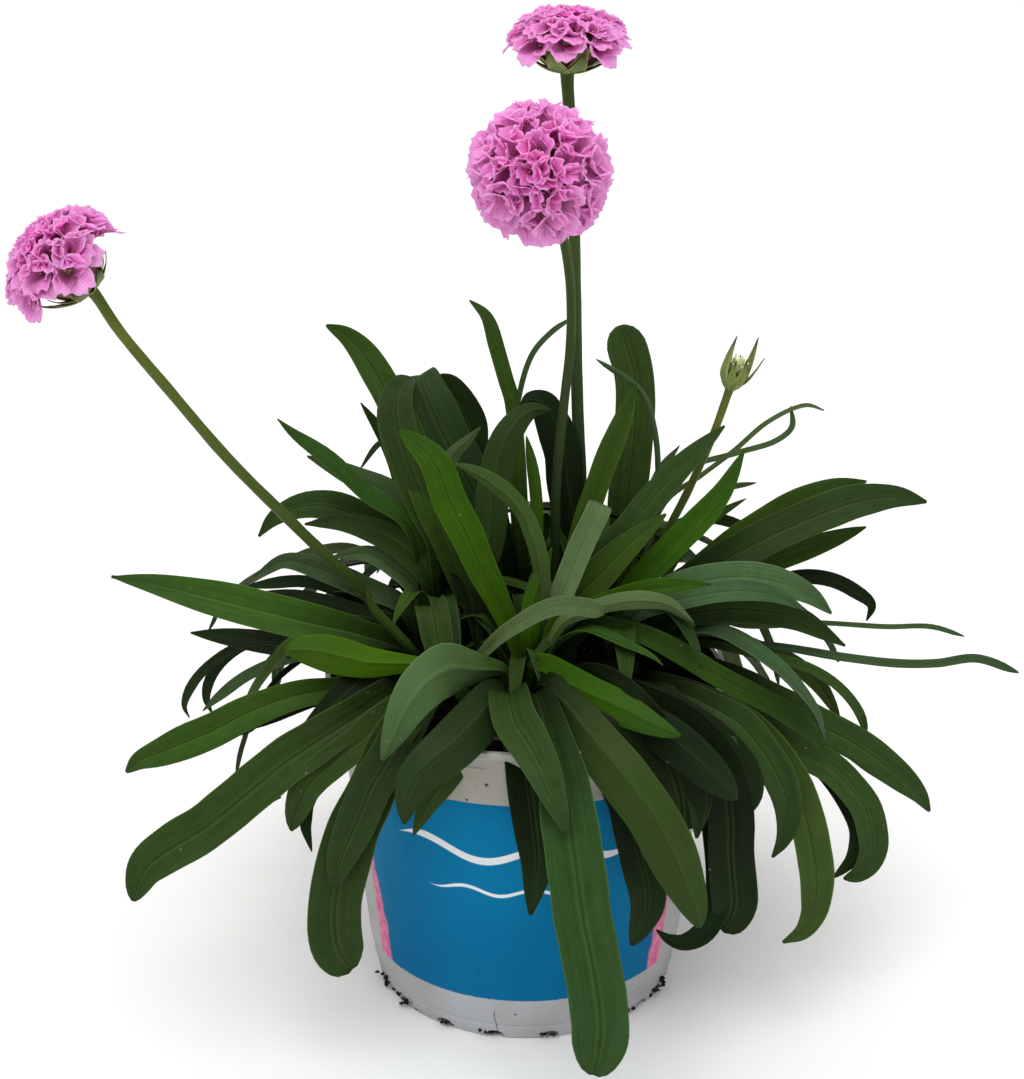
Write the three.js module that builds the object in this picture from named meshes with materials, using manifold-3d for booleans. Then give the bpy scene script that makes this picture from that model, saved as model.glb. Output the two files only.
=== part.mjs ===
// Potted sea thrift: a plastic nursery pot of soil, strap leaves in rosettes, three flower heads and a bud.
// Millimetres, +Z up. The origin is the centre of the pot's flat underside.
import * as THREE from "three";
import { mergeVertices } from "three/addons/utils/BufferGeometryUtils.js";
import Module from "manifold-3d";

const wasm = await Module();
wasm.setup();

// Driving dimensions of the pot
const potHeight = 125;
const rimRadius = 75;
const collarTop = 122;
const collarTopRadius = 74.2;
const collarFoot = 103;
const collarFootRadius = 71.8;
const bodyTopRadius = 69.3;
const bodyFoot = 18;
const bodyFootRadius = 61.4;
const footRadius = 58;
const wall = 1.3;
const floorThickness = 1.8;
const lipStep = 0.5;
const lipDepth = 1;
const shoulderDepth = 2;
const collarStep = 0.8;
const potSides = 36;
const potTurn = 4;

// The ring of small drain arches in the corner between the pot's floor and its wall
const drainCount = 18;
const drainWidth = 7;
const drainHeight = 3.4;
const drainShoulder = 1;
const drainMargin = 1;
const drainInnerRadius = 52;
const firstDrainBearing = -101;

// Soil
const clearance = 0.3;
const soilTop = 114;
const soilCrown = 117;
const soilSides = 18;
const soilGap = 0.5;
const soilFootGap = 1.6;
const soilEdgeRadius = 69.4;
const soilEdgeFall = 2;
const soilEdgeRound = 4.4;

// Short fleshy crowns, which the leaves of each rosette grow from: place [x, y] and radius
const crownHeight = 140;
const crownDepth = 106;
const crownShoulder = 118.5;
const crownNeck = 133;
const crownNeckShare = 0.8;
const crownSides = 7;
const crowns = {
  front: { place: [0, -20], radius: 10 },
  left: { place: [-34, 2], radius: 11 },
  right: { place: [34, -6], radius: 11 },
  middle: { place: [2, 22], radius: 9 },
  backLeft: { place: [-28, 44], radius: 9 },
  backRight: { place: [30, 40], radius: 9 },
};

// The eye of the one view that the leaves are laid out in: a point given as [across, up, toward] lies on the
// sight line through (across, up) of the plant's middle plane, "toward" millimetres before that plane.
const eyeAcross = -4.9;
const eyeAway = 576;
const eyeUp = 379;

// Leaf blades: [name, crown, width, facing, points]; facing 1 shows the blade's whole width to the eye
// and 0 lets it lie as it grew, square to its own arch.
const bladeThickness = 1.1;
const channelDepth = 0.16;
const slimWidth = 3;
const channelledWidth = 12;
const rootDepth = 20;
const rootReach = 3.5;
const slimThickness = 0.8;
const lastSectionGap = 0.24;
const widestShare = 0.62;
const rootWidth = 0.2;
const rootEase = 1.3;
const tipEase = 2.4;
const leaves = [
  ["tallBroadLeft", "front", 12, 0.85, [[-21, 146, 16], [-33, 182, 4], [-44, 215, -10], [-50, 233, -20],
    [-53, 243, -23], [-59, 250.5, -25], [-70.5, 255, -27]]],
  ["broadArchLeft", "left", 14, 0.9, [[-50, 185, 2], [-51, 215, -4], [-46, 231, -8], [-40, 236, -12],
    [-36, 230, -16], [-31, 210, -20], [-28, 196, -22]]],
  ["darkArchLeft", "middle", 13, 0.9, [[-36, 185, -10], [-38, 215, -16], [-35, 230, -20], [-28, 235, -24],
    [-20, 230, -28], [-15, 219, -30], [-15.5, 205, -31]]],
  ["darkFaceLeft", "middle", 15, 0.9, [[-22, 160, -16], [-26, 190, -22], [-27, 210, -27], [-26, 229, -31]]],
  ["darkUpright", "front", 8, 0.8, [[-17.5, 132, 14], [-18, 150, 10], [-19, 168, 6], [-25, 184, 0]]],
  ["slimTall", "middle", 7.5, 0.7, [[-2, 190, -10], [-6.5, 230, -22], [-10, 245, -26], [-14, 258, -28],
    [-20, 264, -30]]],
  ["thinArc", "middle", 2.2, 0.5, [[-5, 200, -28], [-3, 226, -32], [2, 244, -36], [9, 252.5, -38],
    [17, 258, -40]]],
  ["narrowLeft", "left", 6.5, 0.7, [[-42, 180, 2], [-57, 192, 0], [-70, 205, -2], [-84, 216, -4],
    [-89, 221, -4]]],
  ["paleLeft", "left", 10, 0.8, [[-36, 180, -4], [-50, 193, -8], [-60, 198, -10], [-70, 203, -12],
    [-79, 207, -13]]],
  ["tipBehindLeft", "left", 6, 0.7, [[-45, 195, -20], [-50, 212, -24], [-59, 227, -28]]],
  ["darkCurl", "middle", 3, 0.5, [[-35, 205, -12], [-45, 213, -14], [-52, 212, -15], [-60, 202, -15]]],
  ["brightFront", "front", 14, 0.9, [[-6, 140, 24], [-12, 158, 28], [-18, 172, 29], [-23, 187, 28],
    [-29, 199, 26], [-37, 209, 24], [-46, 217, 22]]],
  ["paleTip", "middle", 6.5, 0.7, [[-26, 175, 12], [-30, 193, 12], [-27, 206, 11], [-15.7, 218.5, 8]]],
  ["paleArch", "front", 6, 0.6, [[2, 165, 30], [1, 181, 28], [-6, 193, 28], [-15, 200, 27], [-28, 206, 26]]],
  ["broadArch", "middle", 13, 0.8, [[-18, 168, 10], [-13.5, 192, 8], [-10, 207, 6], [-5, 215, 4],
    [1, 219, 1], [7.5, 219, -3]]],
  ["darkArchRight", "middle", 12, 0.85, [[20, 150, -4], [18.5, 175, -8], [15.5, 194, -11], [11.5, 211, -14],
    [7.5, 220, -15], [3, 224, -14], [-1, 221, -11]]],
  ["slimUpright", "middle", 5.5, 0.8, [[6, 155, 8], [5, 175, 7], [5, 190, 6], [3, 205, 5], [0.5, 215, 4]]],
  ["darkTipped", "middle", 9, 0.8, [[14, 150, 0], [22, 170, -2], [26, 190, -4], [31, 210, -8],
    [38.5, 235, -13]]],
  ["tallBroadRight", "backRight", 15, 0.9, [[34, 160, -30], [37, 190, -32], [39, 215, -34],
    [38.5, 237, -36], [33, 255, -37]]],
  ["thinCurlRight", "backRight", 2.2, 0.5, [[46, 170, -18], [48, 200, -16], [46, 218, -15], [41, 231, -15],
    [24.5, 243, -17]]],
  ["leaningRight", "right", 10, 0.9, [[24, 160, 12], [38, 180, 10], [52, 198, 6], [62, 209, 3],
    [71.5, 218.5, 0]]],
  ["leaningLow", "right", 10, 0.9, [[38, 152, 14], [52, 170, 12], [63, 182, 9], [72, 194, 6],
    [79, 209.5, 2]]],
  ["greyTip", "backRight", 5, 0.7, [[46, 192, -28], [50, 203, -30], [55.5, 211, -32]]],
  ["bluntBent", "front", 10, 0.9, [[5, 132, 26], [9, 145, 27], [14, 157, 27], [21, 172, 27], [26, 186, 26],
    [27, 190, 20], [27, 186, 12]]],
  ["centreTip", "front", 7, 0.8, [[3, 140, 30], [5, 152, 30], [9.5, 170, 28]]],
  ["broadBrightRight", "front", 12, 0.9, [[18, 150, 20], [28, 162, 19], [38, 173, 17], [51.5, 185, 14]]],
  ["tendrilLong", "right", 2.2, 0.5, [[50, 188, -20], [64, 200, -22], [75, 209, -24], [87, 220, -26],
    [100, 226, -28], [107, 224, -28]]],
  ["tendrilHooked", "right", 2.2, 0.5, [[50, 190, -14], [58, 202, -16], [75.5, 208, -20], [90.5, 213, -24],
    [95.5, 218, -26], [94.5, 226, -28]]],
  ["thinTipRight", "backRight", 2.4, 0.5, [[60, 180, -30], [72, 194, -34], [84, 197, -36]]],
  ["smallTipRight", "right", 3.5, 0.6, [[56, 168, -26], [70, 184, -30], [80.5, 191, -32]]],
  ["darkBehindRight", "backRight", 5, 0.6, [[45, 170, -30], [62, 183, -34], [76, 181.5, -36],
    [87, 175.5, -38]]],
  ["fanUpper", "backRight", 10, 0.8, [[60, 160, -14], [80, 177, -20], [98, 189, -24], [112, 195, -26],
    [124, 197.5, -28]]],
  ["fanMiddle", "right", 14, 0.85, [[45, 148, 0], [62, 160, -4], [80, 171, -8], [100, 181.5, -12],
    [120, 189.5, -15], [135, 191.5, -17], [146.5, 189.5, -18]]],
  ["fanLower", "right", 9, 0.8, [[60, 152, -10], [80, 162, -14], [100, 170, -18], [115, 176, -20],
    [125, 180, -22]]],
  ["greyArchRight", "right", 11, 0.8, [[45, 150, 16], [62, 158, 16], [80, 160.5, 15], [95, 158, 14],
    [106, 153, 13], [114.5, 145.5, 12]]],
  ["paleFoldRight", "right", 8, 0.8, [[40, 144, 20], [60, 152, 20], [80, 155, 19], [93, 153, 18],
    [105, 147, 16]]],
  ["hookedRight", "backRight", 6, 0.8, [[80, 152, -24], [100, 160, -28], [112, 159.5, -31],
    [122, 155, -33], [129, 149, -34], [127.5, 142.5, -34]]],
  ["broadLowRight", "right", 11, 0.8, [[45, 140, 12], [70, 147, 10], [88, 147, 8], [102, 143.5, 6],
    [120.5, 132.5, 4]]],
  ["brightRight", "front", 10, 0.8, [[20, 145, 28], [40, 153, 28], [55, 158, 27], [72, 157, 26]]],
  ["greyFrontRight", "front", 9, 0.8, [[15, 143, 32], [30, 149, 33], [45, 152, 33], [55, 149, 32],
    [63.5, 142, 31]]],
  ["threadRight", "backRight", 2.4, 0.5, [[62, 148, -32], [80, 141, -30], [110, 142, -32],
    [135, 140.5, -34], [152, 140.5, -34], [165, 136.5, -34]]],
  ["longThinRight", "right", 4.5, 0.8, [[60, 134, 0], [90, 133, -4], [120, 128, -8], [140, 125.5, -10],
    [155, 125.5, -12], [170, 127.5, -14], [187, 121.5, -16]]],
  ["thinHoopRight", "right", 4, 0.7, [[60, 133, 8], [90, 128.5, 8], [105, 124.5, 7], [117, 117.5, 6],
    [126, 107.5, 5], [130, 98, 4], [129, 92, 4]]],
  ["oliveRight", "right", 7, 0.8, [[66, 138, -6], [88, 131, -10], [100, 126, -14], [110, 118, -16],
    [117, 108, -17], [121, 100, -17]]],
  ["longBrightRight", "front", 10, 0.85, [[25, 142, 30], [45, 138, 30], [60, 131, 30], [75, 122.5, 29],
    [90, 113, 28], [102, 104, 27], [114, 86, 26]]],
  ["longBroadRight", "right", 14, 0.85, [[50, 128, 10], [75, 124, 12], [95, 115, 12], [115, 104, 12],
    [135, 91, 11], [150, 76, 10], [158, 63, 10]]],
  ["hangingInnerRight", "right", 12, 0.85, [[50, 118, 36], [70, 108, 44], [85, 93, 48], [95, 75, 50],
    [100, 60, 50], [98, 42, 50]]],
  ["hangingOuterRight", "right", 15, 0.85, [[50, 120, 30], [75, 112, 38], [92, 96, 44], [105, 77, 47],
    [112, 60, 48], [117, 42, 49], [117, 25, 49], [113, 11, 49], [103, 3.5, 50]]],
  ["curlingRight", "right", 11, 0.85, [[60, 131, 12], [78, 122.5, 15], [93, 107, 17], [106, 92, 18],
    [121, 76, 20], [131, 60, 21], [134, 47, 22], [130, 36, 22], [122, 32, 22], [115, 33, 22]]],
  ["brightFrontRight", "front", 13, 0.9, [[5, 123, 34], [18, 118.5, 46], [32, 112, 54], [44, 106, 59],
    [60, 94.5, 64]]],
  ["darkFrontRight", "right", 13, 0.85, [[22, 118, 40], [45, 110, 52], [63, 99, 58], [75, 87, 61],
    [83, 68, 62]]],
  ["darkOuterRight", "right", 13, 0.85, [[35, 120, 34], [60, 109, 46], [77, 95, 52], [87, 82, 55],
    [86, 60, 56]]],
  ["greyHangingRight", "front", 14, 0.9, [[30, 118, 46], [48, 104, 60], [59, 88, 66], [65, 75, 68],
    [67, 51, 68]]],
  ["shadedRight", "right", 15, 0.9, [[30, 112, 50], [44, 98, 64], [52, 80, 70], [56, 62, 72], [57, 48, 73]]],
  ["broadHangingRight", "right", 18, 0.9, [[40, 112, 46], [60, 98, 60], [72, 80, 68], [78, 62, 71],
    [81, 45, 72], [82, 28, 73], [76.5, 9, 74]]],
  ["broadFrontRight", "front", 18, 0.9, [[12, 112, 52], [23, 100, 68], [35, 83, 80], [48, 64, 86],
    [59, 46, 89], [67, 28, 90], [71, 12, 90]]],
  ["curledUnderRight", "right", 10, 0.85, [[45, 115, 46], [58, 103, 60], [69, 80, 65], [76, 50, 66],
    [78, 20, 68], [70, 4, 68], [60, 1.5, 68], [53, 9, 68]]],
  ["darkHangingFront", "front", 15, 0.9, [[18, 108, 60], [34, 92, 74], [42, 72, 80], [46, 50, 82],
    [48, 30, 83], [43, 2, 83]]],
  ["longHangingFront", "front", 19, 0.95, [[5, 112, 52], [12, 92, 72], [17, 75, 84], [20, 55, 96],
    [23, 35, 104], [27, 10, 111], [31, -15, 116], [33, -40, 119], [29, -61, 120]]],
  ["greyFront", "front", 16, 0.9, [[-6, 112, 58], [0, 95, 78], [7, 80, 91], [12, 66, 99], [17, 52, 104]]],
  ["darkFront", "front", 17, 0.9, [[-4, 112, 60], [0, 98, 75], [2, 76, 84], [4, 52, 87], [5, 35, 89],
    [3, 17, 90]]],
  ["greyFrontLeft", "front", 15, 0.9, [[-10, 113, 54], [-20, 99.5, 73], [-33, 86, 84], [-41, 72, 88],
    [-47, 58, 90]]],
  ["darkFrontLeft", "front", 13, 0.9, [[-6, 113, 54], [-15, 99, 74], [-27, 84, 84], [-37, 68, 87],
    [-44.5, 53, 88]]],
  ["greyFoldFrontLeft", "front", 17, 0.85, [[-12, 126, 44], [-24, 129, 56], [-34, 125, 64], [-43, 111, 72],
    [-50, 98, 76], [-55.5, 86, 78]]],
  ["darkHangingLeft", "left", 11, 0.9, [[-40, 122, 38], [-46, 112, 54], [-52, 99, 64], [-60, 77, 69],
    [-68, 52, 71], [-75, 27, 72]]],
  ["broadHangingLeft", "left", 22, 0.95, [[-38, 124, 36], [-42, 116, 54], [-50, 99, 68], [-62, 70, 74],
    [-70, 45, 76], [-74, 22, 77], [-74, 5, 77], [-64, -10, 76]]],
  ["longLowLeft", "left", 18, 0.9, [[-50, 114, 42], [-62, 105, 52], [-75, 96, 58], [-95, 81, 62],
    [-115, 66, 64], [-135, 51, 66], [-150, 37, 66], [-157, 23, 66]]],
  ["longMiddleLeft", "left", 15, 0.9, [[-50, 123, 24], [-65, 117, 34], [-85, 110.5, 40], [-105, 103, 43],
    [-125, 95.5, 45], [-142, 87, 46], [-154, 79, 46]]],
  ["greyHangingLeft", "left", 14, 0.9, [[-42, 116, 44], [-52, 106, 56], [-66, 93, 62], [-78, 80, 65],
    [-86, 68, 66], [-91.5, 55, 66]]],
  ["tailLeft", "left", 5, 0.7, [[-50, 112, 48], [-60, 101, 58], [-74, 86, 60], [-84, 68, 61],
    [-83.5, 45, 61]]],
  ["longUpperLeft", "left", 14, 0.9, [[-45, 131, 18], [-62, 137.5, 22], [-80, 142, 24], [-100, 147.5, 25],
    [-120, 153, 25], [-140, 158, 24], [-153.5, 160.5, 23]]],
  ["shortLeft", "left", 9, 0.8, [[-60, 130, -4], [-82, 131.5, -8], [-95, 133.5, -10], [-110, 136, -12],
    [-125.5, 138, -13]]],
  ["outerHoopLeft", "backLeft", 4.5, 0.7, [[-62, 144, -18], [-77, 139.5, -21], [-92, 136.5, -24],
    [-105, 133, -26], [-116, 127, -28], [-125, 118, -29], [-129.5, 108, -30], [-128, 102.5, -30]]],
  ["innerHoopLeft", "backLeft", 4.5, 0.7, [[-62, 145, -24], [-80, 140, -27], [-98, 136, -30],
    [-110, 130, -32], [-118, 121, -33], [-121, 111, -34], [-119, 104, -34]]],
  ["greyHoopLeft", "left", 4.5, 0.8, [[-60, 129, 0], [-78, 130, -4], [-92, 126.5, -6], [-105, 120.5, -8],
    [-116, 112, -9], [-123, 105.5, -10]]],
  ["curlBehindLeft", "left", 3, 0.5, [[-70, 133, -10], [-88, 124, -14], [-101, 109, -16], [-108, 92, -16],
    [-112, 77, -16]]],
  ["limeLeft", "left", 15, 1, [[-30, 124, 34], [-48, 125.5, 40], [-60, 127.5, 43], [-70, 130, 44],
    [-80, 131.5, 45], [-89, 131, 45]]],
  ["archedUpperLeft", "left", 12, 0.8, [[-38, 165, -6], [-48, 177, -12], [-60, 183.5, -16],
    [-72, 188, -18], [-83, 187.5, -20], [-92, 183, -21], [-98, 176, -21]]],
  ["archedUnderLeft", "left", 11, 0.8, [[-35, 160, 4], [-44, 171, 0], [-53, 177, -4], [-66, 181.5, -8],
    [-81, 181, -10]]],
  ["archedMiddleLeft", "left", 9, 0.8, [[-45, 148, -2], [-60, 156, -6], [-70, 161, -8], [-80, 165, -10],
    [-89, 166.5, -11], [-100.5, 160.5, -12]]],
  ["darkLowLeft", "backLeft", 5, 0.7, [[-55, 146, -20], [-70, 155, -24], [-82, 158.5, -26],
    [-104, 156.5, -29]]],
  ["thinLowLeft", "left", 5, 0.7, [[-50, 142, 6], [-65, 148, 5], [-80, 152, 4], [-100, 154, 3]]],
  ["thinnerLowLeft", "left", 4, 0.7, [[-50, 138, 8], [-68, 145, 8], [-84, 149, 8], [-97, 151, 8]]],
  ["greyArchLeft", "left", 8, 0.8, [[-38, 152, 0], [-48, 164, -2], [-58, 169.5, -4], [-72, 168, -6]]],
  ["greyCrossingLeft", "left", 9, 0.8, [[-46, 138, 16], [-42, 147, 22], [-36, 150, 28], [-29, 146, 34],
    [-22, 133, 40], [-17.5, 118, 42], [-17, 103, 42]]],
  ["smallCurlLeft", "left", 3.5, 0.8, [[-42, 130, 30], [-50, 140, 32], [-56.5, 148, 33], [-59, 155, 33]]],
  ["smallArchFront", "left", 9, 0.8, [[-26, 122, 30], [-16, 128, 40], [-6, 139, 48], [4, 146, 54],
    [15, 149.5, 57], [29.5, 143, 58]]],
];

// Leaves on the far side, drawn by rule: bearing in degrees round from +X, lengths in millimetres
const leafSeed = 27;
const farLeafGroups = [
  { crown: "backLeft", count: 8, firstBearing: 58, lastBearing: 172, reach: [72, 112], crest: [140, 156],
    drop: [18, 92], width: [8, 16] },
  { crown: "backRight", count: 8, firstBearing: 12, lastBearing: 122, reach: [72, 112], crest: [140, 156],
    drop: [18, 92], width: [8, 16] },
  { crown: "middle", count: 3, firstBearing: 60, lastBearing: 120, reach: [84, 112], crest: [158, 168],
    drop: [8, 40], width: [8, 13] },
  { crown: "left", count: 3, firstBearing: 150, lastBearing: 196, reach: [66, 84], crest: [141, 149],
    drop: [30, 70], width: [9, 14] },
  { crown: "right", count: 3, firstBearing: -16, lastBearing: 32, reach: [66, 88], crest: [141, 149],
    drop: [30, 70], width: [9, 14] },
];
const farBearingJitter = 0.5;
const farSweep = 24;
// Points of an arched leaf: share of its reach, share of its drop, and millimetres still under its crest
const archShape = [[0.14, 0, 12], [0.4, 0, 0], [0.72, 0.26, 0], [0.93, 0.68, 0], [1, 1, 0]];

// One short young leaf that stands up in the middle of each rosette
const youngLeafHeight = [24, 46];
const youngLeafLean = [9, 17];
const youngLeafWidth = [4, 6.5];
const youngLeafFacing = 0.3;

// Flower stalks, set out along the same sight lines; the last point is where the head is seated
const stalkRadius = 1.9;
const budStalkRadius = 1.6;
const stalkSides = 6;
const stalkFoot = 100;
const stalkUpright = 6;
const stalkSectionLength = 15;
const stalkHoleClearance = 0.4;
const seatAhead = 1.5;
const seatBehind = 2;
const heads = {
  left: { foot: [-44, 14], axis: [-0.5, -0.36, 0.79], size: 0.98, turn: 0.4,
    route: [[-61, 155, -3], [-83, 179, 2], [-107, 205.5, 6], [-127, 231.5, 9], [-143, 253, 11],
      [-152.5, 268, 12]] },
  top: { foot: [16, 34], axis: [0.1, -0.12, 1], size: 0.95, turn: 1.7,
    route: [[20, 190, -22], [18.5, 225, -16], [17.5, 255, -10], [16.5, 290, -4], [15, 320, 0],
      [14.5, 339, 0]] },
  front: { foot: [13, 10], axis: [-0.02, -0.95, 0.3], size: 1.06, turn: 3.1,
    route: [[11, 190, -2], [13.5, 225, 2], [15.8, 250, 8], [14.8, 275, 18], [10, 295, 32],
      [5.5, 304.5, 48]] },
};
const budStalk = { foot: [44, 20], axis: [0.28, -0.05, 1], turn: 0.5,
  route: [[45, 160, -16], [60, 196, -12], [67, 214, -8], [72.5, 232, -6]] };

// A flower head in its own frame: the stalk meets it at its origin and +Z points out of its dome
const receptacleTop = 5.2;
const bractCount = 9;
const involucreRings = [[2.5, 0, 2.5, 0], [6.8, 2, 6.8, 2], [13, 5.8, 8.8, 4], [6.4, 4.7, 6.4, 4.7]];
const domeCentre = 9;
const domeReachTop = 14.5;
const domeReachSide = 20.4;
const domeEase = 1.4;
const coreProfile = [[0, 5.6], [9, 5.6], [14.6, 7.6], [12.6, 14], [0, 18.8]];
const coreSides = 9;
const floretCount = 19;
const firstFloretShare = 0.4;
const floretRadius = 6;
const topFloretShare = 0.74;
const floretThroat = 3;
const floretNeckRadius = 1.7;
const floretNeckDepth = 4.6;
const floretRoot = 6.5;
const lowestFloretTilt = 88;
const petalCount = 5;
// Points of one petal's rim: degrees from its middle, share of the flower's radius, and rise
const petalRim = [[-36, 0.62, -1.4], [-20, 1, 0.5], [19, 1, -0.3]];

// The green bud: long pointed bracts round a small cluster of closed flowers
const budReceptacle = [[0, 0], [2.3, 0], [3.6, 1.6], [4.6, 4.4], [0, 4.8]];
const budBracts = [
  { turn: 180, route: [[1.6, 0.4], [5, 4.6], [5.4, 11], [4.4, 19.6]], width: 5.6 },
  { turn: 8, route: [[1.6, 0.4], [4.8, 4.6], [5.8, 11], [5.6, 20]], width: 5.4 },
  { turn: 330, route: [[1.6, 0.4], [5.2, 4.4], [7, 9], [8.4, 14]], width: 4.6 },
  { turn: 262, route: [[1.6, 0.4], [4.6, 4], [5.2, 8], [4.6, 13]], width: 5 },
  { turn: 96, route: [[1.6, 0.4], [4.8, 4.4], [5.6, 10], [5, 17]], width: 5.2 },
];
const budFlowerCount = 7;
const budFlowerSpread = 1.9;
const budFlowerTop = 11.4;
const budFlowerRadius = 1.5;
const budFlowerBase = 6;
const budFlowerBed = [[0, 5.1], [2.4, 5.1], [2.2, 7], [0, 7.4]];
const budSides = 7;

const potPlastic = new THREE.MeshStandardMaterial({ color: 0xc9c6c0, roughness: 0.5, metalness: 0 });
const peat = new THREE.MeshStandardMaterial({ color: 0x1d1612, roughness: 1, metalness: 0 });
const leafGreen = new THREE.MeshStandardMaterial({ color: 0x2f4a1e, roughness: 0.5, metalness: 0 });
const stalkGreen = new THREE.MeshStandardMaterial({ color: 0x52702a, roughness: 0.55, metalness: 0 });
const petalPink = new THREE.MeshStandardMaterial({ color: 0xdc6ec8, roughness: 0.6, metalness: 0 });
const budPale = new THREE.MeshStandardMaterial({ color: 0xb9c48a, roughness: 0.6, metalness: 0 });

// The same numbers every time, spread evenly from 0 to 1
function seededRandom(seed) {
  let state = seed;
  return () => {
    state = (state + 0x6d2b79f5) | 0;
    let mixed = Math.imul(state ^ (state >>> 15), 1 | state);
    mixed = (mixed + Math.imul(mixed ^ (mixed >>> 7), 61 | mixed)) ^ mixed;
    return ((mixed ^ (mixed >>> 14)) >>> 0) / 4294967296;
  };
}

function between([low, high], share) {
  return low + (high - low) * share;
}

function toSolid(geometry) {
  const shape = geometry.clone();
  shape.deleteAttribute("normal");
  shape.deleteAttribute("uv");
  const merged = mergeVertices(shape, 1e-4);
  return new wasm.Manifold(new wasm.Mesh({
    numProp: 3,
    vertProperties: new Float32Array(merged.attributes.position.array),
    triVerts: new Uint32Array(merged.index.array),
  }));
}

function toGeometry(solid) {
  const mesh = solid.getMesh();
  const geometry = new THREE.BufferGeometry();
  geometry.setAttribute("position", new THREE.BufferAttribute(new Float32Array(mesh.vertProperties), 3));
  geometry.setIndex(new THREE.BufferAttribute(new Uint32Array(mesh.triVerts), 1));
  geometry.computeVertexNormals();
  return geometry;
}

// The largest body of a solid: what was left loose by a cut is dropped and any sealed hollow is filled
function largestBody(solid) {
  return solid.decompose().reduce((best, body) => (body.volume() > best.volume() ? body : best));
}

function fuse(solids) {
  let round = solids;
  while (round.length > 1) {
    const next = [];
    for (let i = 0; i < round.length; i += 2) {
      next.push(i + 1 < round.length ? round[i].add(round[i + 1]) : round[i]);
    }
    round = next;
  }
  return round[0];
}

function lathe(profile, sides) {
  const geometry = new THREE.LatheGeometry(profile.map(([r, z]) => new THREE.Vector2(r, z)), sides);
  geometry.rotateX(Math.PI / 2);
  return geometry;
}

// A closed skin over rings of equally many points, with a point or a flat cap at its far end
function skinGeometry(rings, tip) {
  const around = rings[0].length;
  const position = rings.flat().concat(tip ? [tip] : []).flatMap((point) => point.toArray());
  const index = [];
  for (let i = 0; i + 1 < rings.length; i += 1) {
    for (let k = 0; k < around; k += 1) {
      const a = i * around + k;
      const b = i * around + ((k + 1) % around);
      const c = b + around;
      const d = a + around;
      index.push(...(k % 2 === 0 ? [a, c, b, a, d, c] : [b, a, d, b, d, c]));
    }
  }
  const last = (rings.length - 1) * around;
  for (let k = 1; k + 1 < around; k += 1) {
    index.push(0, k, k + 1);
    if (!tip) {
      index.push(last, last + k + 1, last + k);
    }
  }
  for (let k = 0; tip && k < around; k += 1) {
    index.push(last + k, rings.length * around, last + ((k + 1) % around));
  }
  const geometry = new THREE.BufferGeometry();
  geometry.setAttribute("position", new THREE.Float32BufferAttribute(position, 3));
  geometry.setIndex(index);
  return geometry;
}

function alongSight([across, up, toward]) {
  const share = (eyeAway - toward) / eyeAway;
  return new THREE.Vector3(
    eyeAcross + (across - eyeAcross) * share,
    -toward,
    eyeUp + (up - eyeUp) * share,
  );
}

// Width of a strap blade along its length, as a share of its widest
function bladeTaper(share) {
  if (share <= widestShare) {
    return rootWidth + (1 - rootWidth) * Math.sin((share / widestShare) * Math.PI * 0.5) ** rootEase;
  }
  return Math.sqrt(Math.max(0, 1 - ((share - widestShare) / (1 - widestShare)) ** tipEase));
}

// Where a blade's sections go: at the points that its curve was laid out by, and one more close to its tip
function sectionPlaces(curve) {
  const spans = curve.points.length - 1;
  const fine = 10;
  const lengths = curve.getLengths(spans * fine);
  const places = curve.points.slice(0, -1).map((_, i) => i / spans);
  places.push((spans - lastSectionGap) / spans);
  const whole = lengths[lengths.length - 1];
  return places.map((at) => ({ at, share: lengths[Math.round(at * spans * fine)] / whole }));
}

// A channelled strap blade along a curve: its two edges are sharp, and its middle is sunk and thick
function bladeGeometry(curve, width, facing, growsAcross) {
  const slim = width < slimWidth;
  const eye = new THREE.Vector3(eyeAcross, -eyeAway, eyeUp);
  let before = growsAcross.clone();
  const rings = sectionPlaces(curve).map(({ at, share }) => {
    const centre = curve.getPoint(at);
    const ahead = curve.getTangent(at);
    const shown = new THREE.Vector3().crossVectors(ahead, eye.clone().sub(centre)).normalize();
    if (shown.dot(before) < 0) {
      shown.negate();
    }
    const side = growsAcross.clone().lerp(shown, facing);
    side.addScaledVector(ahead, -side.dot(ahead)).normalize();
    if (side.dot(before) < 0) {
      side.negate();
    }
    before = side.clone();
    const normal = new THREE.Vector3().crossVectors(ahead, side);
    const half = (width / 2) * bladeTaper(share);
    const rise = slim ? 0 : channelDepth * half * 2;
    const thick = slim ? slimThickness : bladeThickness;
    return [
      centre.clone().addScaledVector(side, -half).addScaledVector(normal, rise),
      ...(width < channelledWidth ? [] : [centre.clone()]),
      centre.clone().addScaledVector(side, half).addScaledVector(normal, rise),
      centre.clone().addScaledVector(normal, -thick),
    ];
  });
  return skinGeometry(rings, curve.getPoint(1));
}

function growDirection(from, to) {
  return new THREE.Vector3(to.x - from.x, to.y - from.y, 0).normalize();
}

function crownHeart(name) {
  const [x, y] = crowns[name].place;
  return new THREE.Vector3(x, y, crownHeight - rootDepth);
}

function placedLeaf([, crown, width, facing, readings]) {
  const points = readings.map(alongSight);
  const heart = crownHeart(crown);
  const root = heart.clone().addScaledVector(growDirection(heart, points[0]), rootReach);
  const outward = growDirection(root, points[points.length - 1]);
  const across = new THREE.Vector3(0, 0, 1).cross(outward);
  const curve = new THREE.CatmullRomCurve3([root, ...points], false, "centripetal");
  return bladeGeometry(curve, width, facing, across);
}

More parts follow.
